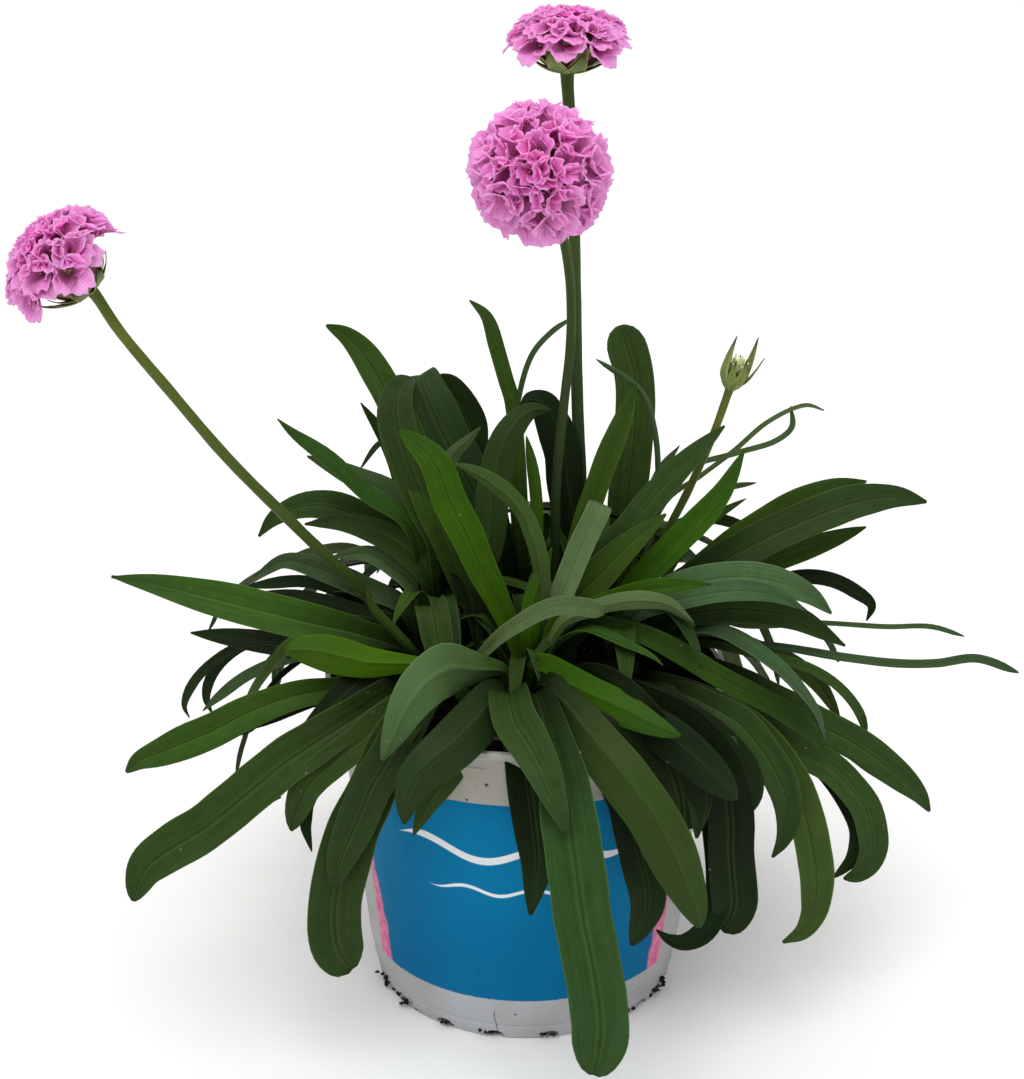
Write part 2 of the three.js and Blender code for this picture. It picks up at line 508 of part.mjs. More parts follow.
// A leaf that arches out of its crown in one upright plane, with a slight sweep to one side
function archedLeaf(crown, bearing, reach, crest, drop, width, sweep) {
  const outward = new THREE.Vector3(Math.cos(bearing), Math.sin(bearing), 0);
  const across = new THREE.Vector3(0, 0, 1).cross(outward);
  const root = crownHeart(crown).addScaledVector(outward, rootReach);
  const shoulders = archShape.map(([share, dropShare, rise]) => root.clone()
    .addScaledVector(outward, reach * share)
    .addScaledVector(across, sweep * share * share)
    .setZ(crest - rise - drop * dropShare));
  const points = [root, ...shoulders];
  return bladeGeometry(new THREE.CatmullRomCurve3(points, false, "centripetal"), width, 0, across);
}

function farLeaves(random) {
  return farLeafGroups.flatMap((group) => Array.from({ length: group.count }, (_, i) => {
    const step = (group.lastBearing - group.firstBearing) / Math.max(1, group.count - 1);
    const bearing = group.firstBearing + step * (i + farBearingJitter * (random() - 0.5));
    return archedLeaf(group.crown, THREE.MathUtils.degToRad(bearing), between(group.reach, random()),
      between(group.crest, random()), between(group.drop, random()), between(group.width, random()),
      farSweep * (random() - 0.5));
  }));
}

function youngLeaves(random) {
  return Object.keys(crowns).map((name) => {
    const bearing = random() * Math.PI * 2;
    const outward = new THREE.Vector3(Math.cos(bearing), Math.sin(bearing), 0);
    const root = crownHeart(name);
    const height = between(youngLeafHeight, random());
    const lean = between(youngLeafLean, random());
    const middle = root.clone().addScaledVector(outward, lean * 0.3).setZ(crownHeight + height * 0.5);
    const tip = root.clone().addScaledVector(outward, lean).setZ(crownHeight + height);
    const curve = new THREE.CatmullRomCurve3([root, middle, tip], false, "centripetal");
    const across = new THREE.Vector3(0, 0, 1).cross(outward);
    return bladeGeometry(curve, between(youngLeafWidth, random()), youngLeafFacing, across);
  });
}

function crownGeometry({ place, radius }, extra = 0) {
  const profile = [[0, crownDepth - extra], [radius + extra, crownDepth - extra],
    [radius + extra, crownShoulder], [radius * crownNeckShare + extra, crownNeck], [0, crownHeight + extra]];
  return lathe(profile, crownSides).translate(place[0], place[1], 0);
}

function headFrame({ route, axis, turn }) {
  const seat = alongSight(route[route.length - 1]);
  const lean = new THREE.Quaternion().setFromUnitVectors(
    new THREE.Vector3(0, 0, 1), new THREE.Vector3(...axis).normalize());
  const spin = new THREE.Quaternion().setFromAxisAngle(new THREE.Vector3(0, 0, 1), turn);
  return new THREE.Matrix4().compose(seat, lean.multiply(spin), new THREE.Vector3(1, 1, 1));
}

// The stalk runs up from its hole in the soil and into the head along the head's own axis
function stalkGeometry({ foot, route, axis }, radius) {
  const seat = alongSight(route[route.length - 1]);
  const inward = new THREE.Vector3(...axis).normalize();
  const points = [
    new THREE.Vector3(foot[0], foot[1], stalkFoot),
    new THREE.Vector3(foot[0], foot[1], soilCrown + stalkUpright),
    ...route.slice(0, -1).map(alongSight),
    seat.clone().addScaledVector(inward, -seatBehind),
    seat.clone().addScaledVector(inward, seatAhead),
  ];
  const curve = new THREE.CatmullRomCurve3(points, false, "centripetal");
  const section = new THREE.Shape(Array.from({ length: stalkSides }, (_, i) => {
    const angle = (i / stalkSides) * Math.PI * 2;
    return new THREE.Vector2(radius * Math.cos(angle), radius * Math.sin(angle));
  }));
  const steps = Math.round(curve.getLength() / stalkSectionLength);
  return new THREE.ExtrudeGeometry(section, { steps, extrudePath: curve, bevelEnabled: false });
}

function bractGeometry(route, width, bearing) {
  const outward = new THREE.Vector3(Math.cos(bearing), Math.sin(bearing), 0);
  const points = route.map(([r, z]) => outward.clone().multiplyScalar(r).setZ(z));
  const curve = new THREE.CatmullRomCurve3(points, false, "centripetal");
  return bladeGeometry(curve, width, 0, new THREE.Vector3(0, 0, 1).cross(outward));
}

// The cup of bracts under a head: each ring gives [radius, height] of the bracts' middles, then of the
// notches between them
function involucreGeometry() {
  const points = 2 * bractCount;
  const rings = involucreRings.map(([tipRadius, tipHeight, notchRadius, notchHeight]) =>
    Array.from({ length: points }, (_, i) => {
      const angle = -(i / points) * Math.PI * 2;
      const [radius, height] = i % 2 ? [notchRadius, notchHeight] : [tipRadius, tipHeight];
      return new THREE.Vector3(radius * Math.cos(angle), radius * Math.sin(angle), height);
    }));
  return skinGeometry(rings, new THREE.Vector3(0, 0, receptacleTop));
}

function budSolids() {
  const bracts = budBracts.map(({ turn, route, width }) =>
    bractGeometry(route, width, THREE.MathUtils.degToRad(turn)));
  return [lathe(budReceptacle, budSides), ...bracts].map(toSolid);
}

// One funnel-shaped flower of five broad petals, from its root inside the head to its waved rim
function floretGeometry(direction, spin, reach, radius) {
  const centre = new THREE.Vector3(0, 0, domeCentre);
  const mouth = centre.clone().addScaledVector(direction, reach);
  const lean = new THREE.Quaternion().setFromUnitVectors(new THREE.Vector3(0, 0, 1), direction);
  const rim = [];
  for (let petal = 0; petal < petalCount; petal += 1) {
    for (const [turn, spread, rise] of petalRim) {
      const angle = THREE.MathUtils.degToRad(petal * 72 + turn) + spin;
      const point = new THREE.Vector3(Math.cos(angle), Math.sin(angle), 0).multiplyScalar(radius * spread);
      rim.push(point.setZ(rise).applyQuaternion(lean).add(mouth));
    }
  }
  const neck = Array.from({ length: petalCount }, (_, petal) => {
    const angle = THREE.MathUtils.degToRad(petal * 72) + spin;
    const point = new THREE.Vector3(Math.cos(angle), Math.sin(angle), 0).multiplyScalar(floretNeckRadius);
    return point.setZ(-floretNeckDepth).applyQuaternion(lean).add(mouth);
  });
  const throat = mouth.clone().addScaledVector(direction, -floretThroat);
  const root = centre.clone().addScaledVector(direction, floretRoot);
  const position = [...rim, ...neck, throat, root].flatMap((point) => point.toArray());
  const count = rim.length;
  const throatIndex = count + petalCount;
  const rootIndex = throatIndex + 1;
  const index = [];
  for (let k = 0; k < count; k += 1) {
    const next = (k + 1) % count;
    const petal = count + Math.floor(k / 3);
    index.push(throatIndex, k, next, petal, next, k);
  }
  for (let petal = 0; petal < petalCount; petal += 1) {
    const here = count + petal;
    const beside = count + ((petal + 1) % petalCount);
    index.push(here, beside, (3 * petal + 3) % count, here, rootIndex, beside);
  }
  const geometry = new THREE.BufferGeometry();
  geometry.setAttribute("position", new THREE.Float32BufferAttribute(position, 3));
  geometry.setIndex(index);
  return geometry;
}

function bloomSolid(frame, size, random) {
  const goldenAngle = Math.PI * (3 - Math.sqrt(5));
  const lowest = Math.cos(THREE.MathUtils.degToRad(lowestFloretTilt));
  const solids = [toSolid(lathe(coreProfile, coreSides))];
  for (let i = 0; i < floretCount; i += 1) {
    const up = 1 - ((i + firstFloretShare) / floretCount) * (1 - lowest);
    const level = Math.sqrt(1 - up * up);
    const bearing = i * goldenAngle;
    const direction = new THREE.Vector3(level * Math.cos(bearing), level * Math.sin(bearing), up);
    const reach = domeReachTop + (domeReachSide - domeReachTop) * level ** domeEase;
    const radius = floretRadius * between([topFloretShare, 1], level);
    solids.push(toSolid(floretGeometry(direction, random() * Math.PI * 2, reach, radius)));
  }
  const scale = new THREE.Matrix4().makeScale(size, size, size);
  return largestBody(fuse(solids)).transform(frame.clone().multiply(scale).toArray());
}

function budFlowerSolid(frame) {
  const solids = [toSolid(lathe(budFlowerBed, budSides))];
  const length = budFlowerTop - budFlowerBase;
  for (let i = 0; i < budFlowerCount; i += 1) {
    const bearing = (i / (budFlowerCount - 1)) * Math.PI * 2;
    const spread = i === budFlowerCount - 1 ? 0 : budFlowerSpread;
    const cone = new THREE.ConeGeometry(budFlowerRadius, length, petalCount).rotateX(Math.PI / 2);
    const middle = budFlowerBase + length / 2 + (i % 2);
    cone.translate(spread * Math.cos(bearing), spread * Math.sin(bearing), middle);
    solids.push(toSolid(cone));
  }
  return largestBody(fuse(solids)).transform(frame.toArray());
}

function potSolid() {
  const outside = [
    [0, 0],
    [footRadius, 0],
    [bodyFootRadius, bodyFoot],
    [bodyTopRadius, collarFoot],
    [collarFootRadius, collarFoot + collarStep],
    [collarTopRadius, collarTop],
    [rimRadius, collarTop + lipStep],
    [rimRadius, potHeight],
  ];
  const inside = [
    [rimRadius - wall - lipDepth, potHeight],
    [collarFootRadius - wall, collarFoot + shoulderDepth],
    [bodyTopRadius - wall, collarFoot - shoulderDepth],
    [bodyFootRadius - wall, bodyFoot],
    [footRadius - wall - collarStep, floorThickness],
    [0, floorThickness],
  ];
  const turned = lathe([...outside, ...inside], potSides).rotateZ(THREE.MathUtils.degToRad(potTurn));
  const arch = new THREE.Shape([
    new THREE.Vector2(-drainWidth / 2, -drainMargin),
    new THREE.Vector2(drainWidth / 2, -drainMargin),
    new THREE.Vector2(drainWidth / 2 - drainShoulder, drainHeight),
    new THREE.Vector2(-drainWidth / 2 + drainShoulder, drainHeight),
  ]);
  const depth = footRadius - drainInnerRadius + drainMargin + bodyFootRadius - footRadius;
  const tool = new THREE.ExtrudeGeometry(arch, { depth, bevelEnabled: false });
  tool.rotateX(Math.PI / 2).rotateZ(Math.PI / 2).translate(drainInnerRadius, 0, 0);
  return Array.from({ length: drainCount }, (_, i) => firstDrainBearing + (i * 360) / drainCount)
    .reduce((pot, bearing) => pot.subtract(toSolid(tool).rotate([0, 0, bearing])), toSolid(turned));
}

function soilSolid(holes) {
  const profile = [
    [0, floorThickness + clearance],
    [footRadius - wall - soilFootGap, floorThickness + clearance],
    [bodyFootRadius - wall - soilGap, bodyFoot],
    [bodyTopRadius - wall - soilGap, collarFoot - shoulderDepth],
    [soilEdgeRadius, soilTop - soilEdgeFall],
    [soilEdgeRadius - soilEdgeRound, soilTop],
    [0, soilCrown],
  ];
  const body = lathe(profile, soilSides).rotateZ(THREE.MathUtils.degToRad(potTurn));
  return holes.reduce((soil, hole) => soil.subtract(hole), toSolid(body));
}

function addPiece(plant, name, solid, material) {
  const mesh = new THREE.Mesh(toGeometry(solid), material);
  mesh.name = name;
  plant.add(mesh);
}

const plant = new THREE.Group();
const random = seededRandom(leafSeed);
const stalks = { ...heads, bud: budStalk };
const holeRadius = stalkRadius + stalkHoleClearance;
const stalkHoles = Object.values(stalks).map((stalk) => toSolid(stalkGeometry(stalk, holeRadius)));

const crownSolids = Object.values(crowns).map((crown) => toSolid(crownGeometry(crown)));
const bladeSolids = [...leaves.map(placedLeaf), ...farLeaves(random), ...youngLeaves(random)].map(toSolid);
const grown = fuse([...crownSolids, ...bladeSolids]);
const foliage = stalkHoles.reduce((rest, hole) => rest.subtract(hole), grown);
addPiece(plant, "foliage", largestBody(foliage), leafGreen);

addPiece(plant, "pot", potSolid(), potPlastic);
const crownHoles = Object.values(crowns).map((crown) => toSolid(crownGeometry(crown, clearance)));
addPiece(plant, "soil", soilSolid([...crownHoles, ...stalkHoles]), peat);

for (const [name, head] of Object.entries(heads)) {
  const frame = headFrame(head);
  const involucre = toSolid(involucreGeometry()).transform(frame.toArray());
  const stalk = toSolid(stalkGeometry(head, stalkRadius));
  addPiece(plant, `scape_${name}`, largestBody(stalk.add(involucre)), stalkGreen);
  addPiece(plant, `bloom_${name}`, bloomSolid(frame, head.size, random), petalPink);
}

const budFrame = headFrame(budStalk);
const budParts = budSolids().map((solid) => solid.transform(budFrame.toArray()));
const budStem = toSolid(stalkGeometry(budStalk, budStalkRadius));
addPiece(plant, "scape_bud", largestBody(fuse([budStem, ...budParts])), stalkGreen);
addPiece(plant, "bud_flowers", budFlowerSolid(budFrame), budPale);

export default plant;
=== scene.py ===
# Potted sea thrift: the finished look of the plant, its pot and its soil, laid over the solid model.
# Sizes are in millimetres up to the moment a piece is made; Blender itself gets metres.
import math
import random

import bpy
import numpy as np
from mathutils import Matrix, Vector, noise


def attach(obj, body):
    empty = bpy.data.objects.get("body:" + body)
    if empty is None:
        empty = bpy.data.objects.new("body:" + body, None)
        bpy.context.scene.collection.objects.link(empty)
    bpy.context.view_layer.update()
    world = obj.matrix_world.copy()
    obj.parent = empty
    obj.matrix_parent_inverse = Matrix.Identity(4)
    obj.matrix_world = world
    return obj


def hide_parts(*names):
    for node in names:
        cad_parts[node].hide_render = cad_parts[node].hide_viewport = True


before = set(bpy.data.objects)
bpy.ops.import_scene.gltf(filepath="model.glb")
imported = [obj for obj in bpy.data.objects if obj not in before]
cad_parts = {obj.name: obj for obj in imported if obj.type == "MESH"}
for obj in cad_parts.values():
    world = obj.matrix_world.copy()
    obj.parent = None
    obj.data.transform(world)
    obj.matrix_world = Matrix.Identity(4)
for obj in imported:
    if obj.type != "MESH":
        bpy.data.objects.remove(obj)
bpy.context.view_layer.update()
millimetre = 0.001
goldenAngle = math.pi * (3 - math.sqrt(5))
up = np.array([0.0, 0.0, 1.0])


# Colours are written as 0-255 screen values, as a colour picker shows them
def paint(red, green, blue, alpha=1.0):
    def linear(value):
        share = value / 255
        return share / 12.92 if share <= 0.04045 else ((share + 0.055) / 1.055) ** 2.4
    return (linear(red), linear(green), linear(blue), alpha)


def unit(vector):
    return vector / np.maximum(np.linalg.norm(vector, axis=-1, keepdims=True), 1e-9)


def smooth(low, high, value):
    share = np.clip((value - low) / (high - low), 0, 1)
    return share * share * (3 - 2 * share)


def between(pair, share):
    return pair[0] + (pair[1] - pair[0]) * share


# Stage: camera at the photograph's angle, pale floor, soft light
stage = {
    "eye": (-4.9, -576, 379),       # where the photograph was taken from
    "tiltDown": 19.5,               # degrees under the horizon
    "focalPixels": 1664,            # focal length in pixels of the 1079 px high frame
    "frameHeight": 1079,
    "sensor": 36,
    "floorReach": 60000,
    "floorColour": paint(240, 240, 238),
    "skyStrength": (0.36, 1.0),     # at the horizon and overhead
    "sunStrength": 1.65,
    "sunSpread": 48,                # degrees, wide for soft shadows
    "sunFrom": (-0.12, -0.4, 1.0),
}


def aimLight(name, strength, spread, source):
    light = bpy.data.lights.new(name, "SUN")
    light.energy = strength
    light.angle = math.radians(spread)
    lamp = bpy.data.objects.new(name, light)
    lamp.rotation_euler = Vector(source).to_track_quat("Z", "Y").to_euler()
    bpy.context.scene.collection.objects.link(lamp)


def setStage():
    scene = bpy.context.scene
    scene.view_settings.view_transform = "Standard"
    camera = bpy.data.cameras.new("photo_camera")
    camera.sensor_width = stage["sensor"]
    camera.lens = stage["focalPixels"] / stage["frameHeight"] * stage["sensor"]
    camera.clip_end = 200
    view = bpy.data.objects.new("photo_camera", camera)
    view.location = Vector(stage["eye"]) * millimetre
    view.rotation_euler = (math.radians(90 - stage["tiltDown"]), 0, 0)
    scene.collection.objects.link(view)
    scene.camera = view
    world = bpy.data.worlds.new("studio")
    world.use_nodes = True
    sky = world.node_tree.nodes["Background"]
    sky.inputs["Color"].default_value = (1, 1, 1, 1)
    height = split(world, addNode(world, "TexCoord", {}, output="Generated"))[2]
    world.node_tree.links.new(ramp(world, height, 0, 1, *stage["skyStrength"]), sky.inputs["Strength"])
    scene.world = world
    aimLight("key_light", stage["sunStrength"], stage["sunSpread"], stage["sunFrom"])
    reach = stage["floorReach"] * millimetre
    floor = bpy.data.meshes.new("floor")
    floor.from_pydata([(-reach, -reach, 0), (reach, -reach, 0), (reach, reach, 0), (-reach, reach, 0)],
                      [], [(0, 1, 2, 3)])
    floorMaterial, _ = startMaterial("floor_paper", {"Base Color": stage["floorColour"], "Roughness": 0.9})
    floor.materials.append(floorMaterial)
    sheet = bpy.data.objects.new("floor", floor)
    scene.collection.objects.link(sheet)
    print("stage set")


# Material helpers: each takes sockets or plain numbers and gives back a socket
def startMaterial(name, finish):
    material = bpy.data.materials.new(name)
    material.use_nodes = True
    shader = material.node_tree.nodes["Principled BSDF"]
    for socket, value in finish.items():
        shader.inputs[socket].default_value = value
    return material, shader


def addNode(material, kind, inputs, output=0, **settings):
    node = material.node_tree.nodes.new("ShaderNode" + kind)
    for key, value in settings.items():
        setattr(node, key, value)
    for key, value in inputs.items():
        if isinstance(value, bpy.types.NodeSocket):
            material.node_tree.links.new(value, node.inputs[key])
        else:
            node.inputs[key].default_value = value
    return node.outputs[output]


def reckon(material, operation, first, second=0.0):
    return addNode(material, "Math", {0: first, 1: second}, operation=operation)


def times(material, first, second):
    return reckon(material, "MULTIPLY", first, second)


def plus(material, first, second):
    return reckon(material, "ADD", first, second)


def minus(material, first, second):
    return reckon(material, "SUBTRACT", first, second)


def ramp(material, value, low, high, start=0.0, end=1.0):
    return addNode(material, "MapRange", {"Value": value, "From Min": low, "From Max": high,
                                          "To Min": start, "To Max": end}, interpolation_type="SMOOTHSTEP")


def blend(material, factor, first, second, mode="MIX"):
    node = material.node_tree.nodes.new("ShaderNodeMix")
    node.data_type = "RGBA"
    node.blend_type = mode
    for index, value in ((0, factor), (6, first), (7, second)):
        if isinstance(value, bpy.types.NodeSocket):
            material.node_tree.links.new(value, node.inputs[index])
        else:
            node.inputs[index].default_value = value
    return node.outputs[2]


def speckle(material, place, scale, detail=3.0, roughness=0.55):
    return addNode(material, "TexNoise", {"Vector": place, "Scale": scale, "Detail": detail,
                                          "Roughness": roughness}, output="Fac")


def meshValue(material, name, output="Vector"):
    return addNode(material, "Attribute", {}, output=output, attribute_name=name)


def split(material, vector):
    node = material.node_tree.nodes.new("ShaderNodeSeparateXYZ")
    material.node_tree.links.new(vector, node.inputs[0])
    return node.outputs[0], node.outputs[1], node.outputs[2]


def join(material, x, y, z):
    return addNode(material, "CombineXYZ", {0: x, 1: y, 2: z})


def objectPlace(material):
    return addNode(material, "TexCoord", {}, output="Object")


def finishShader(material, shader, colour, roughness, height, depth):
    links = material.node_tree.links
    links.new(colour, shader.inputs["Base Color"])
    links.new(roughness, shader.inputs["Roughness"])
    relief = addNode(material, "Bump", {"Height": height, "Distance": depth * millimetre})
    links.new(relief, shader.inputs["Normal"])


# A piece is gathered as closed skins, each with its own surface values, and made into one mesh at the end
def newPiece():
    return {"points": [], "faces": [], "place": [], "tone": [], "count": 0}


def signedVolume(points, faces):
    corners = points[faces]
    total = 0.0
    for k in range(1, faces.shape[1] - 1):
        total += np.einsum("ij,ij->", corners[:, 0], np.cross(corners[:, k], corners[:, k + 1]))
    return total


def addSkin(piece, points, blocks, place, tone):
    inward = sum(signedVolume(points, block) for block in blocks) < 0
    for block in blocks:
        turned = block[:, ::-1] if inward else block
        piece["faces"] += (turned + piece["count"]).tolist()
    piece["points"].append(points)
    piece["place"].append(np.broadcast_to(place, (len(points), 3)))
    piece["tone"].append(np.broadcast_to(tone, (len(points), 4)))
    piece["count"] += len(points)


def makePiece(name, piece, material, replaced=(), sharpAngle=None):
    mesh = bpy.data.meshes.new(name)
    mesh.from_pydata((np.concatenate(piece["points"]) * millimetre).tolist(), [], piece["faces"])
    place = mesh.attributes.new("place", "FLOAT_VECTOR", "POINT")
    place.data.foreach_set("vector", np.concatenate(piece["place"]).astype(np.float32).ravel())
    tone = mesh.attributes.new("tone", "FLOAT_COLOR", "POINT")
    tone.data.foreach_set("color", np.concatenate(piece["tone"]).astype(np.float32).ravel())
    mesh.shade_smooth()
    if sharpAngle:
        mesh.set_sharp_from_angle(angle=math.radians(sharpAngle))
    mesh.materials.append(material)
    made = bpy.data.objects.new(name, mesh)
    bpy.context.scene.collection.objects.link(made)
    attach(made, "root")
    if replaced:
        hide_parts(*replaced)
    print(name, "made:", len(mesh.vertices), "points")
    return made


# Faces of a thin closed sheet: two grids of points, rows by columns, joined all round their borders
def sheetFaces(rows, columns):
    grid = np.arange(rows * columns).reshape(rows, columns)
    front = np.stack([grid[:-1, :-1], grid[:-1, 1:], grid[1:, 1:], grid[1:, :-1]], -1).reshape(-1, 4)
    behind = front[:, ::-1] + rows * columns
    border = np.concatenate([grid[0, :-1], grid[:-1, -1], grid[-1, :0:-1], grid[:0:-1, 0]])
    following = np.roll(border, -1)
    rim = np.stack([border, border + rows * columns, following + rows * columns, following], -1)
    return [np.concatenate([front, behind, rim])]


# Faces of a skin over rings of points, closed by a fan at each end round one extra point
def tubeFaces(rows, around):
    grid = np.arange(rows * around).reshape(rows, around)
    beside = np.roll(grid, -1, axis=1)
    wall = np.stack([grid[:-1], beside[:-1], beside[1:], grid[1:]], -1).reshape(-1, 4)
    first = np.full(around, rows * around)
    fans = [np.stack([first, beside[0], grid[0]], -1), np.stack([first + 1, grid[-1], beside[-1]], -1)]
    return [wall, np.concatenate(fans)]


def addSheet(piece, front, behind, place, tone):
    rows, columns = front.shape[:2]
    points = np.concatenate([front.reshape(-1, 3), behind.reshape(-1, 3)])
    sides = np.concatenate([place.reshape(-1, 3), place.reshape(-1, 3) + (0, 0, 1)])
    tones = np.concatenate([tone.reshape(-1, 4)] * 2) if tone.ndim > 1 else tone
    addSkin(piece, points, sheetFaces(rows, columns), sides, tones)


# A thin sheet from one grid of points, thickened along its own normals
def addLeafyGrid(piece, grid, thickness, place, tone):
    alongGrid = np.gradient(grid, axis=0)
    acrossGrid = np.gradient(grid, axis=1)
    normal = unit(np.cross(acrossGrid, alongGrid))
    half = normal * (thickness / 2)[..., None] if np.ndim(thickness) else normal * thickness / 2
    addSheet(piece, grid + half, grid - half, place, tone)


def addTube(piece, centres, radii, sides, place, tone, ridges=0, ridgeDepth=0.0):
    ahead = unit(np.gradient(centres, axis=0))
    side = np.cross(ahead[0], up if abs(ahead[0][2]) < 0.9 else np.array([1.0, 0, 0]))
    angles = np.arange(sides) / sides * 2 * math.pi
    wave = 1 + ridgeDepth * np.cos(ridges * angles)
    rings = []
    for centre, tangent, radius in zip(centres, ahead, radii):
        side = unit(side - tangent * np.dot(side, tangent))
        other = np.cross(tangent, side)
        rings.append(centre + radius * wave[:, None]
                     * (np.cos(angles)[:, None] * side + np.sin(angles)[:, None] * other))
    rows = len(centres)
    points = np.concatenate([np.concatenate(rings), centres[:1], centres[-1:]])
    share = np.concatenate([np.repeat(np.linspace(0, 1, rows), sides), [0, 1]])
    turn = np.concatenate([np.tile(angles / math.pi - 1, rows), [0, 0]])
    own = np.stack([turn, share, np.zeros_like(share)], -1) if place is None else place
    addSkin(piece, points, tubeFaces(rows, sides), own, tone)


# Centripetal Catmull-Rom curve through the points, at places counted in spans
def curveAt(points, places):
    ends = np.vstack([2 * points[0] - points[1], points, 2 * points[-1] - points[-2]])
    span = np.minimum(np.floor(places).astype(int), len(points) - 2)
    weight = (places - span)[:, None]
    p0, p1, p2, p3 = (ends[span + k] for k in range(4))
    gaps = [np.maximum(np.linalg.norm(b - a, axis=1), 1e-6)[:, None] ** 0.5
            for a, b in ((p0, p1), (p1, p2), (p2, p3))]
    leave = ((p1 - p0) / gaps[0] - (p2 - p0) / (gaps[0] + gaps[1]) + (p2 - p1) / gaps[1]) * gaps[1]
    arrive = ((p2 - p1) / gaps[1] - (p3 - p1) / (gaps[1] + gaps[2]) + (p3 - p2) / gaps[2]) * gaps[1]
    return (p1 + leave * weight + (3 * (p2 - p1) - 2 * leave - arrive) * weight ** 2
            + (2 * (p1 - p2) + leave + arrive) * weight ** 3)


# Places on a curve at given shares of its length, and the length itself
def placesByLength(points, shares):
    fine = np.linspace(0, len(points) - 1, 24 * (len(points) - 1) + 1)
    steps = np.linalg.norm(np.diff(curveAt(points, fine), axis=0), axis=1)
    walked = np.concatenate([[0], np.cumsum(steps)])
    return np.interp(np.asarray(shares) * walked[-1], walked, fine), walked[-1]


def curvePoints(points, shares):
    points = np.asarray(points, float)
    places, _ = placesByLength(points, shares)
    return curveAt(points, places)


# The same numbers every time, as the solid model draws them
def seededRandom(seed):
    state = [seed]

    def draw():
        state[0] = (state[0] + 0x6D2B79F5) & 0xFFFFFFFF
        value = state[0]
        mixed = ((value ^ (value >> 15)) * (1 | value)) & 0xFFFFFFFF
        mixed = ((mixed + (mixed ^ (mixed >> 7)) * (61 | mixed)) & 0xFFFFFFFF) ^ mixed
        return (mixed ^ (mixed >> 14)) / 4294967296
    return draw


# A reading (across, up, toward) of the photograph's view, brought onto its own depth
def alongSight(reading):
    eyeAcross, eyeBack, eyeUp = stage["eye"]
    across, height, toward = reading
    share = (-eyeBack - toward) / -eyeBack
    return np.array([eyeAcross + (across - eyeAcross) * share, -toward, eyeUp + (height - eyeUp) * share])


# Pot: a thin plastic shell with a collar, a rolled lip and small arches cut out of its foot
pot = {
    "height": 125, "rimRadius": 75, "collarTop": 122, "collarTopRadius": 74.2, "collarFoot": 103,
    "collarFootRadius": 71.8, "bodyTopRadius": 69.3, "bodyFoot": 18, "bodyFootRadius": 61.4, "footRadius": 58,
    "wall": 1.3, "floorThickness": 1.8, "lipStep": 0.5, "lipDepth": 1, "shoulderDepth": 2, "collarStep": 0.8,
    "sides": 240, "cornerRadius": 0.45, "sharpAngle": 40,
    "archCount": 18, "archWidth": 7, "archHeight": 3.4, "archInnerRadius": 52, "archPast": 3, "archDepth": 2,
    "archRoundness": 0.6, "archSink": 0.2, "firstArchBearing": -101, "archSteps": 9,
    "beadHeight": 118.4, "bead": 0.4, "beadHalf": 0.5, "seamHeight": 6, "seam": 0.4,
    # label: angles in degrees round from the front
    "labelFoot": 18.5, "labelTop": 102.6, "labelHalfAngle": 59, "labelTurn": -3, "marginAngle": 5.5,
    "edgeWobble": 0.9, "marginSway": 9, "crackBearing": -7.8,
    # two waves: height, half thickness, swing, swings in a full turn and half width in degrees
    "waves": ((82, 1.5, 3.2, 9, 43), (66, 0.7, 1.4, 17, 34)), "waveTaper": 16,
    "plastic": paint(178, 177, 171), "plasticLow": paint(178, 180, 184), "inside": paint(24, 25, 26),
    # The lower blue below is the label's blue painted darker, as painted shade toward the foot.
    "blue": paint(0, 122, 171), "blueLow": paint(0, 104, 151), "pink": paint(208, 96, 142),
    "pinkPale": paint(228, 158, 186), "print": paint(232, 238, 240), "dirt": paint(52, 44, 38),
    "stain": paint(150, 144, 134), "bluePatch": paint(0, 94, 144), "crack": paint(70, 68, 66),
}


# Rounds the corners of a profile of (radius, height) points with short arcs
def roundedProfile(corners, radius, steps=4):
    corners = np.asarray(corners, float)
    rounded = []
    for k, corner in enumerate(corners):
        before, after = corners[k - 1], corners[(k + 1) % len(corners)]
        if corner[0] == 0:
            rounded.append(corner)
            continue
        cut = min(radius, np.linalg.norm(before - corner) * 0.45, np.linalg.norm(after - corner) * 0.45)
        start = corner + unit(before - corner) * cut
        end = corner + unit(after - corner) * cut
        for share in np.linspace(0, 1, steps):
            rounded.append((1 - share) ** 2 * start + 2 * share * (1 - share) * corner + share ** 2 * end)
    return np.array(rounded)


def archCutter():
    half = pot["archWidth"] / 2
    turns = np.linspace(0, math.pi, pot["archSteps"])
    outline = [(half * math.cos(t), pot["archHeight"] * math.sin(t) ** pot["archRoundness"] - pot["archSink"])
               for t in turns]
    outline = [(half, -pot["archDepth"])] + outline + [(-half, -pot["archDepth"])]
    cutter = newPiece()
    for k in range(pot["archCount"]):
        bearing = math.radians(pot["firstArchBearing"] + k * 360 / pot["archCount"])
        outward = np.array([math.cos(bearing), math.sin(bearing), 0])
        sideways = np.array([-outward[1], outward[0], 0])
        flat = np.array([sideways * x + up * z for x, z in outline])
        points = np.concatenate([flat + outward * pot["archInnerRadius"],
                                 flat + outward * (pot["footRadius"] + pot["archPast"])])
        count = len(flat)
        ring = np.arange(count)
        beside = np.roll(ring, -1)
        walls = np.stack([ring, beside, beside + count, ring + count], -1)
        addSkin(cutter, points, [walls, ring[None, ::-1], ring[None, :] + count], 0, 0)
    mesh = bpy.data.meshes.new("arch_cutter")
    mesh.from_pydata((np.concatenate(cutter["points"]) * millimetre).tolist(), [], cutter["faces"])
    return bpy.data.objects.new("arch_cutter", mesh)


